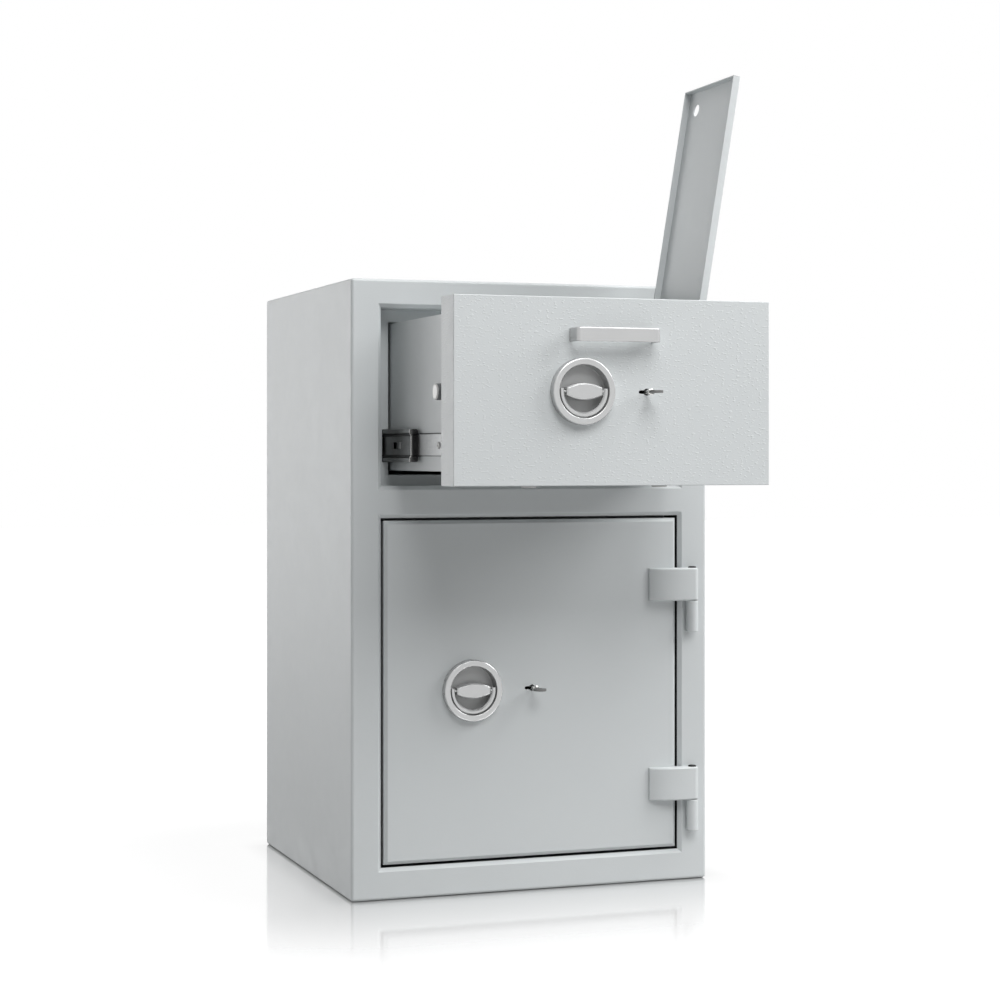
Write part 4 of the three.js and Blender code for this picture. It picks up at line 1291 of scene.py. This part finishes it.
@dataclass
class Hinge:
    """An arched strap on the door, a knuckle on the frame, a washer between, the pin and its cap."""

    place: str
    radius: float = 0.008
    strap_end: float = 0.0034
    strap_chamfer: float = 0.0017
    arch_share: float = 0.26
    arch_steps: int = 20
    pin_radius: float = 0.004
    pin_edge: float = 0.0006
    bore_play: float = 0.0003
    knuckle_edge: float = 0.0009
    foot_half: float = 0.005
    foot_inset: float = 0.0006
    washer_radius: float = 0.0074
    washer_play: float = 0.1
    cap_radius: float = 0.0056
    cap_height: float = 0.0019
    cap_stem: float = 0.004
    cap_rim: float = 0.45
    cap_dome: float = 0.72
    dome_start: float = 20.0

    def build(self) -> None:
        """Builds strap, knuckle, washer, pin and cap."""
        strap, knuckle = f"{self.place}_hinge_strap", f"{self.place}_hinge_knuckle"
        axis = (middle(knuckle).x, low(knuckle).y + self.radius)
        self.strap(strap, axis)
        self.knuckle(knuckle, axis)
        self.pin(axis)

    def bore(self, axis: Span, span: Span) -> BMesh:
        """The hole for the pin."""
        return turned(rod_profile(self.pin_radius + self.bore_play, span), Axis.Z, axis)

    def strap(self, node: str, axis: Span) -> None:
        """Builds the strap: flat behind, arched in front, round at the pin.

        Args:
            node: The strap's node.
            axis: The pin's place.
        """
        lo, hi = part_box(node)
        nose = axis[1] - self.radius
        start, end = (lo.x, hi.y - self.strap_end), (axis[0], nose)
        control = (lo.x + (axis[0] - lo.x) * self.arch_share, nose)
        outline = [(lo.x, hi.y)]
        for i in range(self.arch_steps):
            t = i / self.arch_steps
            outline.append(tuple(
                (1 - t) ** 2 * start[k] + 2 * t * (1 - t) * control[k] + t * t * end[k]
                for k in (0, 1)))
        outline += arc(axis, self.radius, -90, 90, NOSE_STEPS)
        inner = [self.drawn_in(point, axis, hi.y) for point in outline]
        chamfer = self.strap_chamfer
        levels = (
            (inner, lo.z), (outline, lo.z + chamfer), (outline, hi.z - chamfer), (inner, hi.z))
        piece = object_from(node, skinned([[(u, v, z) for u, v in ring] for ring, z in levels]))
        carve(piece, (self.bore(axis, (lo.z - OVERRUN, hi.z + OVERRUN)),))
        dress(f"{self.place}_strap", piece, Finish.COAT, node)
        self.cap(node, axis, hi.z)

    def drawn_in(self, point: Span, axis: Span, back: float) -> Span:
        """Moves a point of the strap's outline in by the chamfer of its upper and lower edges.

        Args:
            point: The point.
            axis: The pin's place.
            back: The strap's flat back, which has no chamfer.

        Returns:
            The point moved in.
        """
        if point[1] > back - TOUCH:
            return point
        if point[0] < axis[0]:
            return point[0], point[1] + self.strap_chamfer
        share = 1 - self.strap_chamfer / self.radius
        return tuple(axis[k] + (point[k] - axis[k]) * share for k in (0, 1))

    def cap(self, node: str, axis: Span, top: float) -> None:
        """Builds the low black cap that closes the strap's bore.

        Args:
            node: The strap's node.
            axis: The pin's place.
            top: The strap's upper face.
        """
        stem, base, reach = self.pin_radius - self.bore_play, top - self.cap_stem, self.cap_radius
        rim = self.cap_height * self.cap_rim
        profile = [(0, base), (stem, base), (stem, top), (reach, top), (reach, top + rim)]
        dome = (reach * self.cap_dome, top + rim)
        profile += arc(dome, self.cap_height - rim, self.dome_start, 90, LIP_STEPS)
        profile += [(0, top + self.cap_height)]
        dress(f"{self.place}_hinge_cap", turned(profile, Axis.Z, axis), Finish.PLASTIC, node, 0, ())

    def knuckle(self, node: str, axis: Span) -> None:
        """Builds the knuckle, a round barrel on a foot that is welded to the frame, and its washer.

        Args:
            node: The knuckle's node.
            axis: The pin's place.
        """
        lo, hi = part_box(node)
        profile = rod_profile(self.radius, (lo.z, hi.z), self.knuckle_edge)
        piece = object_from(node, turned(profile, Axis.Z, axis, BARREL_SIDES))
        foot = block((axis[0] - self.foot_half, axis[1], lo.z + self.foot_inset),
                     (axis[0] + self.foot_half, hi.y, hi.z - self.foot_inset))
        carve(piece, (foot,), "UNION")
        bore_low = low(f"{self.place}_hinge_pin").z - self.bore_play
        carve(piece, (self.bore(axis, (bore_low, hi.z + OVERRUN)),))
        dress(f"{self.place}_knuckle", piece, Finish.COAT, node)
        above = low(f"{self.place}_hinge_strap").z
        play = (above - hi.z) * self.washer_play
        base, top, bore = hi.z + play, above - play, self.pin_radius + self.bore_play
        ring = [(bore, base), (self.washer_radius, base), (self.washer_radius, top), (bore, top)]
        dress(f"{self.place}_washer", turned(ring, Axis.Z, axis), Finish.ZINC, node, 0, ())

    def pin(self, axis: Span) -> None:
        """Builds the pin, its ends chamfered.

        Args:
            axis: The pin's place.
        """
        node = f"{self.place}_hinge_pin"
        lo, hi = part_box(node)
        profile = rod_profile(self.pin_radius, (lo.z, hi.z), self.pin_edge)
        dress(f"{self.place}_pin", turned(profile, Axis.Z, axis), Finish.DARK, node, 0)


# Slides


@dataclass
class Slide:
    """One ball slide: cabinet member, middle member with its black end, drawer member and bracket."""

    side: Side
    sheet: float = 0.0014
    race: float = 0.0046
    web_recess: float = 0.0022
    drawer_half: float = 0.0138
    crown: float = 0.0036
    seal_share: float = 0.6
    seal_height: float = 0.0016
    nose_step: float = 0.005
    nose_rim: float = 0.0016
    nose_slope: float = 0.003
    nose_depth: float = 0.002
    cage_inner: float = 0.0118
    cage_outer: float = 0.0138
    cage_recess: float = 0.0002
    cage_ends: Span = (0.007, 0.01)
    wing_proud: float = 0.0004
    wing_depth: float = 0.0012
    wing_span: Span = (0.0066, 0.032)
    screw: Screw = Screw(0.0042, 0.0022, 0.8, 0.4, 0.55, 0.14)
    screw_reach: float = 0.049
    screw_spacing: float = 0.128
    screw_count: int = 3
    slot_half: float = 0.0045
    fixed_slots: tuple[float, ...] = (0.03, 0.14, 0.3)
    middle_slot: float = 0.22
    window: Span = (0.064, 0.086)
    window_half: float = 0.004
    tab: Span = (0.052, 0.0625)
    tab_rise: float = 0.0013
    slit: Span = (0.0475, 0.0505)
    bridge_half: float = 0.0125
    bridge_length: float = 0.0042
    pocket_depth: float = 0.0014
    pocket_inset: float = 0.003
    pocket_rise: Span = (0.0045, 0.0105)
    bumper: float = 0.0042
    bumper_edge: float = 0.0012
    bumper_inset: float = 0.0002
    tongue_inset: Span = (0.0026, 0.0006)
    tongue_start: float = 0.003
    tongue_half: float = 0.0118

    def build(self) -> None:
        """Builds the members and dresses the bracket."""
        word = self.side.word
        dress_nodes((f"slide_bracket_{word}",), Finish.ZINC)
        self.cabinet_member(f"slide_outer_{word}")
        self.middle_member(f"slide_middle_{word}")
        self.drawer_member(f"slide_inner_{word}")
        self.end_piece(f"slide_retainer_{word}")

    def outer(self, node: str) -> float:
        """A node's face on the cabinet's side."""
        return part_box(node)[self.side is Side.RIGHT].x

    def inner(self, node: str) -> float:
        """A node's face on the drawer's side."""
        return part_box(node)[self.side is Side.LEFT].x

    def level(self, node: str) -> float:
        """Height of a node's middle."""
        return (low(node).z + high(node).z) / 2

    def channel(self, node: str, start: float = 0.0, recess: float = 0.0) -> Piece:
        """Builds a C section with rolled lips.

        Args:
            node: The member's node.
            start: How far behind the node's front it starts.
            recess: How far its web lies behind its races.

        Returns:
            The member, not yet dressed.
        """
        lo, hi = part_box(node)
        depth, half, sheet, lip = hi.x - lo.x, (hi.z - lo.z) / 2, self.sheet, self.race
        profile = [
            (0, half), (depth, half), (depth, half - sheet), (sheet, half - sheet),
            (sheet, half - lip), (sheet + recess, half - lip - recess),
            (sheet + recess, lip + recess - half), (sheet, lip - half),
            (sheet, sheet - half), (depth, sheet - half), (depth, -half), (0, -half),
            (0, lip - half), (recess, lip + recess - half), (recess, half - lip - recess),
            (0, half - lip)]
        outer, centre = self.outer(node), self.level(node)
        points = [(outer - self.side.value * d, centre + rise) for d, rise in profile]
        return object_from(node, prism(points, Axis.Y, (lo.y + start, hi.y)))

    def cabinet_member(self, node: str) -> None:
        """Builds the fixed member with its screw slots.

        Args:
            node: The member's node.
        """
        piece = self.channel(node)
        self.cut_slots(piece, node, self.fixed_slots)
        dress(f"fixed_member_{self.side.word}", piece, Finish.ZINC, node, edge=0.0003)

    def middle_member(self, node: str) -> None:
        """Builds the middle member: recessed web, latch window, nose, black strips of painted shade
        along the web's edges, and race wings.

        Args:
            node: The member's node.
        """
        lo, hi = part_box(node)
        half, centre = (hi.z - lo.z) / 2, self.level(node)
        outer, way = self.outer(node), self.side.value
        piece = self.channel(node, self.nose_step, self.web_recess)
        tall = (centre - self.window_half, centre + self.window_half)
        carve(piece, [
            block((lo.x - OVERRUN, lo.y + start, tall[0]), (hi.x + OVERRUN, lo.y + end, tall[1]))
            for start, end in (self.window, self.slit)])
        self.cut_slots(piece, node, (self.middle_slot,))
        web = outer - way * self.web_recess
        tab = block((web - way * self.sheet / 2, lo.y + self.tab[0], tall[0]),
                    (web + way * self.tab_rise, lo.y + self.tab[1], tall[1]))
        carve(piece, (tab,), "UNION")
        dress(f"middle_member_{self.side.word}", piece, Finish.RACE, node, edge=0.0003)
        self.nose(node, outer, half)
        # Painted shade: black strips along the web's top and bottom edges stand in for the shadow
        # grooves under the lips; the zinc wings are the race's own.
        for index, sense in enumerate((1, -1)):
            self.strip(
                f"ball_cage_{self.side.word}_{index}", node, Finish.PLASTIC,
                (outer, outer - way * (self.web_recess + self.cage_recess)),
                (lo.y + self.cage_ends[0], hi.y - self.cage_ends[1]),
                (centre + sense * self.cage_inner, centre + sense * self.cage_outer))
            proud = outer + way * self.wing_proud
            self.strip(
                f"race_wing_{self.side.word}_{index}", node, Finish.ZINC,
                (proud, proud - way * self.wing_depth),
                (lo.y + self.wing_span[0], lo.y + self.wing_span[1]),
                (centre + sense * (half - self.race), centre + sense * (half - self.cage_recess)))

    def strip(self, name: str, node: str, finish: Finish, *spans: Span) -> None:
        """A thin strip along a member, from its spans in x, y and z."""
        dress(name, block(*zip(*spans)), finish, node, edge=0.0002, replaced=())

    def nose(self, node: str, outer: float, half: float) -> None:
        """Builds the bright rim at the middle member's front, its web a step ahead of its races.

        Args:
            node: The member's node.
            outer: The member's face on the cabinet's side.
            half: Half its height.
        """
        start, centre = low(node).y, middle(node).z
        step, shoulder = self.nose_step, self.cage_inner
        slope = shoulder + self.nose_slope
        front = [
            (step, half), (step, slope), (0, shoulder), (0, -shoulder), (step, -slope), (step, -half)]
        outline = front + [(y + self.nose_rim, z) for y, z in reversed(front)]
        span = sorted((
            outer + self.side.value * self.wing_proud, outer - self.side.value * self.nose_depth))
        bm = prism([(start + y, centre + z) for y, z in outline], Axis.X, span)
        dress(f"slide_nose_{self.side.word}", bm, Finish.NICKEL, node, edge=0.0002, replaced=())

    def drawer_member(self, node: str) -> None:
        """Builds the drawer member, narrower than the races that it runs in, a black strip of painted
        shadow above it, and screws.

        Args:
            node: The member's node.
        """
        lo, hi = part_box(node)
        half, centre = self.drawer_half, self.level(node)
        back, way = self.inner(node), self.side.value
        lip = half - self.sheet
        profile = [
            (0, half), (self.crown, half), (self.crown, -lip), (self.sheet, -lip),
            (self.sheet, -half), (0, -half)]
        points = [(back + way * d, centre + rise) for d, rise in profile]
        bm = prism(points, Axis.Y, (lo.y, hi.y))
        dress(f"drawer_member_{self.side.word}", bm, Finish.ZINC, node, edge=0.0003)
        # Painted shadow: a black strip along the member's top edge stands in for the shadow line between
        # the member and the box side.
        shadow_strip = (centre + half, centre + half + self.seal_height)
        self.strip(f"drawer_member_seal_{self.side.word}", node, Finish.PLASTIC,
                   (back, back - way * (hi.x - lo.x) * self.seal_share), (lo.y, hi.y), shadow_strip)
        for index in range(self.screw_count):
            y = lo.y + self.screw_reach + index * self.screw_spacing
            self.screw.build(f"slide_screw_{self.side.word}_{index}", node, Axis.X, (y, centre),
                             back + way * self.crown, way)

    def cut_slots(self, piece: Piece, node: str, reaches: Sequence[float]) -> None:
        """Cuts slots through a member's web.

        Args:
            piece: The member.
            node: Its node.
            reaches: Their distances from its front end.
        """
        lo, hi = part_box(node)
        for reach in reaches:
            y, centre, half = lo.y + reach, self.level(node), self.slot_half
            outline = arc((y + half, centre), half, -90, 90, END_STEPS)
            outline += arc((y - half, centre), half, 90, 270, END_STEPS)
            carve(piece, (prism(outline, Axis.X, (lo.x - OVERRUN, hi.x + OVERRUN)),))

    def end_piece(self, node: str) -> None:
        """Builds the middle member's black end: a slotted bridge, two round bumpers and a tongue.

        Args:
            node: The end's node.
        """
        lo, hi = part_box(node)
        centre, bumper = self.level(node), self.bumper
        near, far = self.pocket_rise
        steps = [add_box((lo.x, lo.y, centre - self.bridge_half),
                         (hi.x, lo.y + self.bridge_length, centre + self.bridge_half))]
        steps += [
            cut_box((lo.x + self.pocket_inset, lo.y, centre + sense * near),
                    (hi.x - self.pocket_inset, lo.y + self.pocket_depth, centre + sense * far))
            for sense in (1, -1)]
        piece = object_from(node, cells(steps))
        rod = rod_profile(
            bumper, (lo.x + self.bumper_inset, hi.x - self.bumper_inset), self.bumper_edge)
        carve(piece, [
            turned(rod, Axis.X, (lo.y + bumper, z), SMALL_SIDES)
            for z in (lo.z + bumper, hi.z - bumper)], "UNION")
        left, right = self.tongue_inset[::-self.side.value]
        tongue = block((lo.x + left, lo.y + self.tongue_start, centre - self.tongue_half),
                       (hi.x - right, hi.y, centre + self.tongue_half))
        carve(piece, (tongue,), "UNION")
        dress(f"slide_end_{self.side.word}", piece, Finish.PLASTIC, node, edge=0.0003)


# Deposit lid


@dataclass
class Lid:
    """The folded lid, open past upright, with its lifting hole; its hinge leaf and pin."""

    sheet: float = 0.0015
    fold_share: float = 0.9
    fold_steps: int = 3
    open_degrees: float = 99.4
    length: float = 0.317
    height: float = 0.010
    axis_standoff: float = 0.0035
    barrel: float = 0.003
    barrel_edge: float = 0.0002
    barrel_end: float = 0.005
    barrel_gap: float = 0.0003
    web_clear: float = 0.0001
    bore: float = 0.0018
    hole_radius: float = 0.008
    hole_inset: float = 0.026
    rim_edge: float = 0.0003

    def build(self) -> None:
        """Builds the lid shut about its axis, then turns it open."""
        (_, y0, _), (_, y1, _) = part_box("drawer_lid")
        s, right, top = self.sheet, -self.axis_standoff, self.axis_standoff
        left, base = right - self.length, top - self.height
        bm = cells((
            add_box((left, y0, base), (right, y1, top)),
            cut_box((left + s, y0 + s, base), (right - s, y1 - s, top - s))))
        fold = edges_where(bm, lambda a, b: min(a.z, b.z) > top - TOUCH)
        rounded(bm, fold, s * self.fold_share, self.fold_steps)
        rim = edges_where(bm, lambda a, b: max(a.z, b.z) < base + TOUCH)
        rounded(bm, rim, self.rim_edge, EDGE_STEPS)
        piece = object_from("lid", bm)
        hole = turned(
            rod_profile(self.hole_radius, (base - OVERRUN, top + OVERRUN)), Axis.Z,
            (left + self.hole_inset, y1 - self.hole_inset), BARREL_SIDES)
        carve(piece, (hole,))
        self.add_barrels(piece, y0, y1)
        pin = middle("lid_hinge_pin")
        opening = Matrix.Rotation(math.radians(self.open_degrees), 4, "Y")
        piece.data.transform(Matrix.Translation((pin.x, 0, pin.z)) @ opening)
        dress("deposit_lid", piece, Finish.COAT, "drawer_lid", edge=0)
        dress_nodes(("lid_hinge_leaf", "lid_hinge_pin"), Finish.ZINC, 0.0002)

    def add_barrels(self, piece: Piece, y0: float, y1: float) -> None:
        """Joins the hinge's two outer barrels to the shut lid and bores them.

        Args:
            piece: The lid.
            y0: Its front.
            y1: Its back.
        """
        third = (y1 - y0 - 2 * self.barrel_end) / 3
        edge = -self.axis_standoff - self.sheet / 2
        for index in (0, 2):
            start = y0 + self.barrel_end + index * third + self.barrel_gap
            span = (start, start + third - 2 * self.barrel_gap)
            web = block((edge, span[0], 0), (0, span[1], self.barrel - self.web_clear))
            rod = rod_profile(self.barrel, span, self.barrel_edge)
            carve(piece, (web, turned(rod, Axis.Y, (0, 0), SMALL_SIDES)), "UNION")
        bore = rod_profile(self.bore, (y0 - OVERRUN, y1 + OVERRUN))
        carve(piece, (turned(bore, Axis.Y, (0, 0), SMALL_SIDES),))


# Drawer box and boltwork


@dataclass
class DrawerBox:
    """The sheet box behind the drawer's front, its well and what closes the well's floor."""

    edge: float = 0.0005
    flap_edge: float = 0.0003

    def build(self) -> None:
        """Dresses the sheets of the box."""
        sheets = ("drawer_shell", "well_front_wall", "well_back_wall", "drawer_top_plate")
        dress_nodes(sheets, Finish.COAT, self.edge)
        dress_nodes(("drop_flap_front", "drop_flap_back"), Finish.ZINC, self.flap_edge)


@dataclass
class Boltwork:
    """Bolts, bars, cams, lock cases and the cover over the door's boltwork."""

    chamfer: float = 0.0014
    edge: float = 0.0003
    dog_edge: float = 0.0006
    cover_edge: float = 0.0008
    screw_inset: float = 0.014
    shank_limit: float = 0.5
    screw: Screw = Screw(0.0048, 0.0026, 0.75, 0.35, 0.5, 0.12)

    def bolt(self, name: str, node: str, axis: Axis) -> None:
        """Builds a turned bolt, its ends chamfered and bright, its shank dark steel as painted shade.

        Args:
            name: The bolt's name.
            node: Its node.
            axis: The axis that it slides along.
        """
        lo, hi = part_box(node)
        k = axis.value
        first, second = [i for i in range(3) if i != k]
        centre = ((lo[first] + hi[first]) / 2, (lo[second] + hi[second]) / 2)
        profile = rod_profile((hi[first] - lo[first]) / 2, (lo[k], hi[k]), self.chamfer)
        piece = dress(name, turned(profile, axis, centre, BARREL_SIDES), Finish.BOLT, node, self.edge)
        # Painted shade: the shank's faces take the dark steel finish, though the bolt is one turned
        # steel.
        pick_out(piece, Finish.DARK, lambda face: abs(face.normal[k]) < self.shank_limit)

    def build(self) -> None:
        """Builds the bolts and the cover's screws, and dresses what drives the bolts."""
        for side in Side:
            self.bolt(f"{side.word}_locking_bolt", f"{side.word}_bolt", Axis.X)
            self.bolt(f"lower_locking_bolt_{side.word}", f"bottom_bolt_{side.word}", Axis.Z)
        for level in ("upper", "lower"):
            self.bolt(f"door_locking_bolt_{level}", f"door_{level}_bolt", Axis.X)
        dress_nodes([f"{place}_bolt_bar" for place in ("left", "right", "bottom", "door")], Finish.DARK)
        for place in ("drawer", "door"):
            dress_nodes((f"{place}_cam_spindle", f"{place}_lock_case"), Finish.DARK)
            dress_nodes((f"{place}_lock_bolt",), Finish.BOLT)
        dress_nodes(("door_hinge_dog",), Finish.DARK, self.dog_edge)
        cover = "door_bolt_box"
        dress_nodes((cover,), Finish.COAT, self.cover_edge)
        (x0, _, z0), (x1, y1, z1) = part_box(cover)
        inset = self.screw_inset
        places = product((x0 + inset, x1 - inset), (z0 + inset, middle(cover).z, z1 - inset))
        for index, place in enumerate(places):
            self.screw.build(f"cover_screw_{index}", cover, Axis.Y, place, y1, 1)


# Studio


@dataclass(frozen=True)
class Lamp:
    """A square soft lamp, placed round the aim by degrees from the front and from level."""

    name: str
    azimuth: float
    elevation: float
    distance: float
    size: float
    power: float

    def place(self, aim: Vector) -> Vector:
        """Where the lamp stands.

        Args:
            aim: The point that it shines at.

        Returns:
            Its place.
        """
        turn, rise = math.radians(self.azimuth), math.radians(self.elevation)
        level = self.distance * math.cos(rise)
        return aim + Vector((
            level * math.sin(turn), -level * math.cos(turn), self.distance * math.sin(rise)))

    def build(self, aim: Vector) -> None:
        """Makes the lamp and points it at the aim.

        Args:
            aim: The point that it shines at.
        """
        data = bpy.data.lights.new(self.name, "AREA")
        data.shape = "SQUARE"
        data.size = self.size
        data.energy = self.power
        lamp = bpy.data.objects.new(self.name, data)
        lamp.location = self.place(aim)
        lamp.rotation_euler = (aim - self.place(aim)).to_track_quat("-Z", "Y").to_euler()
        bpy.context.scene.collection.objects.link(lamp)


LAMPS = (
    Lamp("key_lamp", 0, 46, 4.2, 2.4, 106.0),
    Lamp("right_lamp", 68, 37, 4.2, 2.2, 122.0),
    Lamp("front_lamp", 0, 6, 4.6, 3.0, 5.0),
    Lamp("chamfer_lamp", 80, 68, 3.4, 1.7, 30.0),
    Lamp("left_lamp", -120, 2, 5.5, 2.6, 42.0),
    Lamp("back_lamp", -150, 8, 4.8, 2.4, 50.0),
)


@dataclass
class Studio:
    """Pale floor with a soft reflection and a soft shadow, partly rendered and partly painted, soft
    lamps, white surround and the camera.
    """

    floor_half: float = 14.0
    floor_drop: float = 0.0004
    camera_at: tuple[float, float, float] = (-1.0299, -2.9224, 0.5756)
    camera_heading: float = -19.481
    camera_lens: float = 78.81
    camera_shift: Span = (0.0204, -0.047)
    camera_reach: float = 60.0
    world_light: float = 0.1
    aim: tuple[float, float, float] = (0.0, -0.2, 0.4)
    # The floor's white is lower near the cabinet's foot than far off: painted shade round the foot.
    floor_glow: Span = (0.89, 1.05)
    glow_reach: float = 0.5
    floor_tone: float = 0.1
    floor_gloss: Span = (0.07, 0.1)
    gloss_scale: float = 40.0
    bounce_tone: float = 0.48
    sheen_most: float = 0.78
    sheen_reach: float = 0.6
    sheen_power: float = 2.1
    contact_reach: float = 0.045
    contact_samples: int = 8

    def build(self) -> None:
        """Builds camera, floor, surround and lamps."""
        self.camera()
        self.floor()
        self.surround()
        for lamp in LAMPS:
            lamp.build(Vector(self.aim))

    def camera(self) -> None:
        """The camera at the photograph's view."""
        data = bpy.data.cameras.new("camera")
        data.lens = self.camera_lens
        data.shift_x, data.shift_y = self.camera_shift
        data.clip_end = self.camera_reach
        camera = bpy.data.objects.new("camera", data)
        camera.location = self.camera_at
        camera.rotation_euler = (math.radians(90), 0, math.radians(self.camera_heading))
        bpy.context.scene.collection.objects.link(camera)
        bpy.context.scene.camera = camera

    def floor(self) -> None:
        """A wide pale floor: white to the camera, with a soft shadow that is partly painted near the
        cabinet's foot, and a fading sheen.
        """
        bm = bmesh.new()
        corners = ((-1, -1), (1, -1), (1, 1), (-1, 1))
        bm.faces.new([
            bm.verts.new((x * self.floor_half, y * self.floor_half, -self.floor_drop))
            for x, y in corners])
        floor = object_from("floor", bm)
        material = bpy.data.materials.new("pale_floor")
        g = Graph(material)
        away = self.foot_distance(g)
        faint, bounce = (
            g.add("BsdfDiffuse", {"Color": (tone, tone, tone, 1)})
            for tone in (self.floor_tone, self.bounce_tone))
        glow = g.add("Emission", {"Strength": self.glow_strength(g, away)})
        pale = g.add("AddShader", {0: glow, 1: faint})
        gloss = g.add("BsdfGlossy", {
            "Color": (1, 1, 1, 1),
            "Roughness": g.range_of(g.noise(self.gloss_scale, 2.0), self.floor_gloss)})
        sheen = g.add("MixShader", {0: self.sheen_share(g, away), 1: pale, 2: gloss})
        g.finish(g.add("MixShader", {0: g.shown(), 1: bounce, 2: sheen}))
        floor.data.materials.append(material)

    def foot_distance(self, g: Graph) -> Node:
        """Measures how far a place on the floor is from the cabinet's foot.

        Args:
            g: The floor's nodes.

        Returns:
            The distance.
        """
        hi = high("outer_casing")
        parts = g.add("SeparateXYZ", {"Vector": g.place()}).outputs
        squares = []
        for axis, edge in (("X", hi.x), ("Y", hi.y)):
            beyond = g.math("SUBTRACT", g.math("ABSOLUTE", parts[axis]), edge)
            outside = g.math("MAXIMUM", beyond, 0.0)
            squares.append(g.math("MULTIPLY", outside, outside))
        return g.math("SQRT", g.math("ADD", *squares))

    def glow_strength(self, g: Graph, away: Node) -> Node:
        """Gives the floor's own white, with painted shade near the cabinet's foot: weaker close to it
        and darkened by ambient occlusion where the cabinet touches the floor.

        Args:
            g: The floor's nodes.
            away: The distance from the cabinet's foot.

        Returns:
            The strength, rising with the distance.
        """
        near, far = self.floor_glow
        # Painted shade: the glow is weaker near the cabinet's foot and is multiplied by ambient
        # occlusion, which darkens the floor where the cabinet stands.
        rise = g.add(
            "MapRange", {"From Max": self.glow_reach, "To Min": near, "To Max": far, "Value": away},
            interpolation_type="SMOOTHSTEP")
        painted_contact_shade = g.add(
            "AmbientOcclusion", {"Distance": self.contact_reach}, samples=self.contact_samples)
        return g.math("MULTIPLY", rise, painted_contact_shade.outputs["AO"])

    def sheen_share(self, g: Graph, away: Node) -> Node:
        """The sheen's share, which falls off with the distance from the cabinet's foot."""
        left = g.math("MAXIMUM", g.math("SUBTRACT", 1.0, g.math("DIVIDE", away, self.sheen_reach)), 0.0)
        return g.math("MULTIPLY", g.math("POWER", left, self.sheen_power), self.sheen_most)

    def surround(self) -> None:
        """The world: white to the camera and in reflections, softer as light."""
        world = bpy.data.worlds.new("surround")
        bpy.context.scene.world = world
        g = Graph(world, "OutputWorld")
        light, white = (
            g.add("Background", {"Color": (1, 1, 1, 1), "Strength": strength})
            for strength in (self.world_light, 1.0))
        white.label = "white surround"
        g.finish(g.add("MixShader", {0: g.shown(), 1: light, 2: white}))


def main() -> None:
    """Builds the studio and each sub-assembly."""
    logging.basicConfig(level=logging.INFO, format="%(message)s")
    bpy.context.scene.view_settings.view_transform = "Standard"
    Studio().build()
    Cabinet().build()
    Panel("door", 0.0045, 1, Finish.COAT).build()
    Panel("drawer", 0.0012, 3, Finish.EMBOSSED).build()
    for place in ("door", "drawer"):
        RingHandle(place).build()
        Key(place).build()
    PullHandle().build()
    for place in ("upper", "lower"):
        Hinge(place).build()
    for side in Side:
        Slide(side).build()
    DrawerBox().build()
    Lid().build()
    Boltwork().build()


if __name__ == "__main__":
    main()
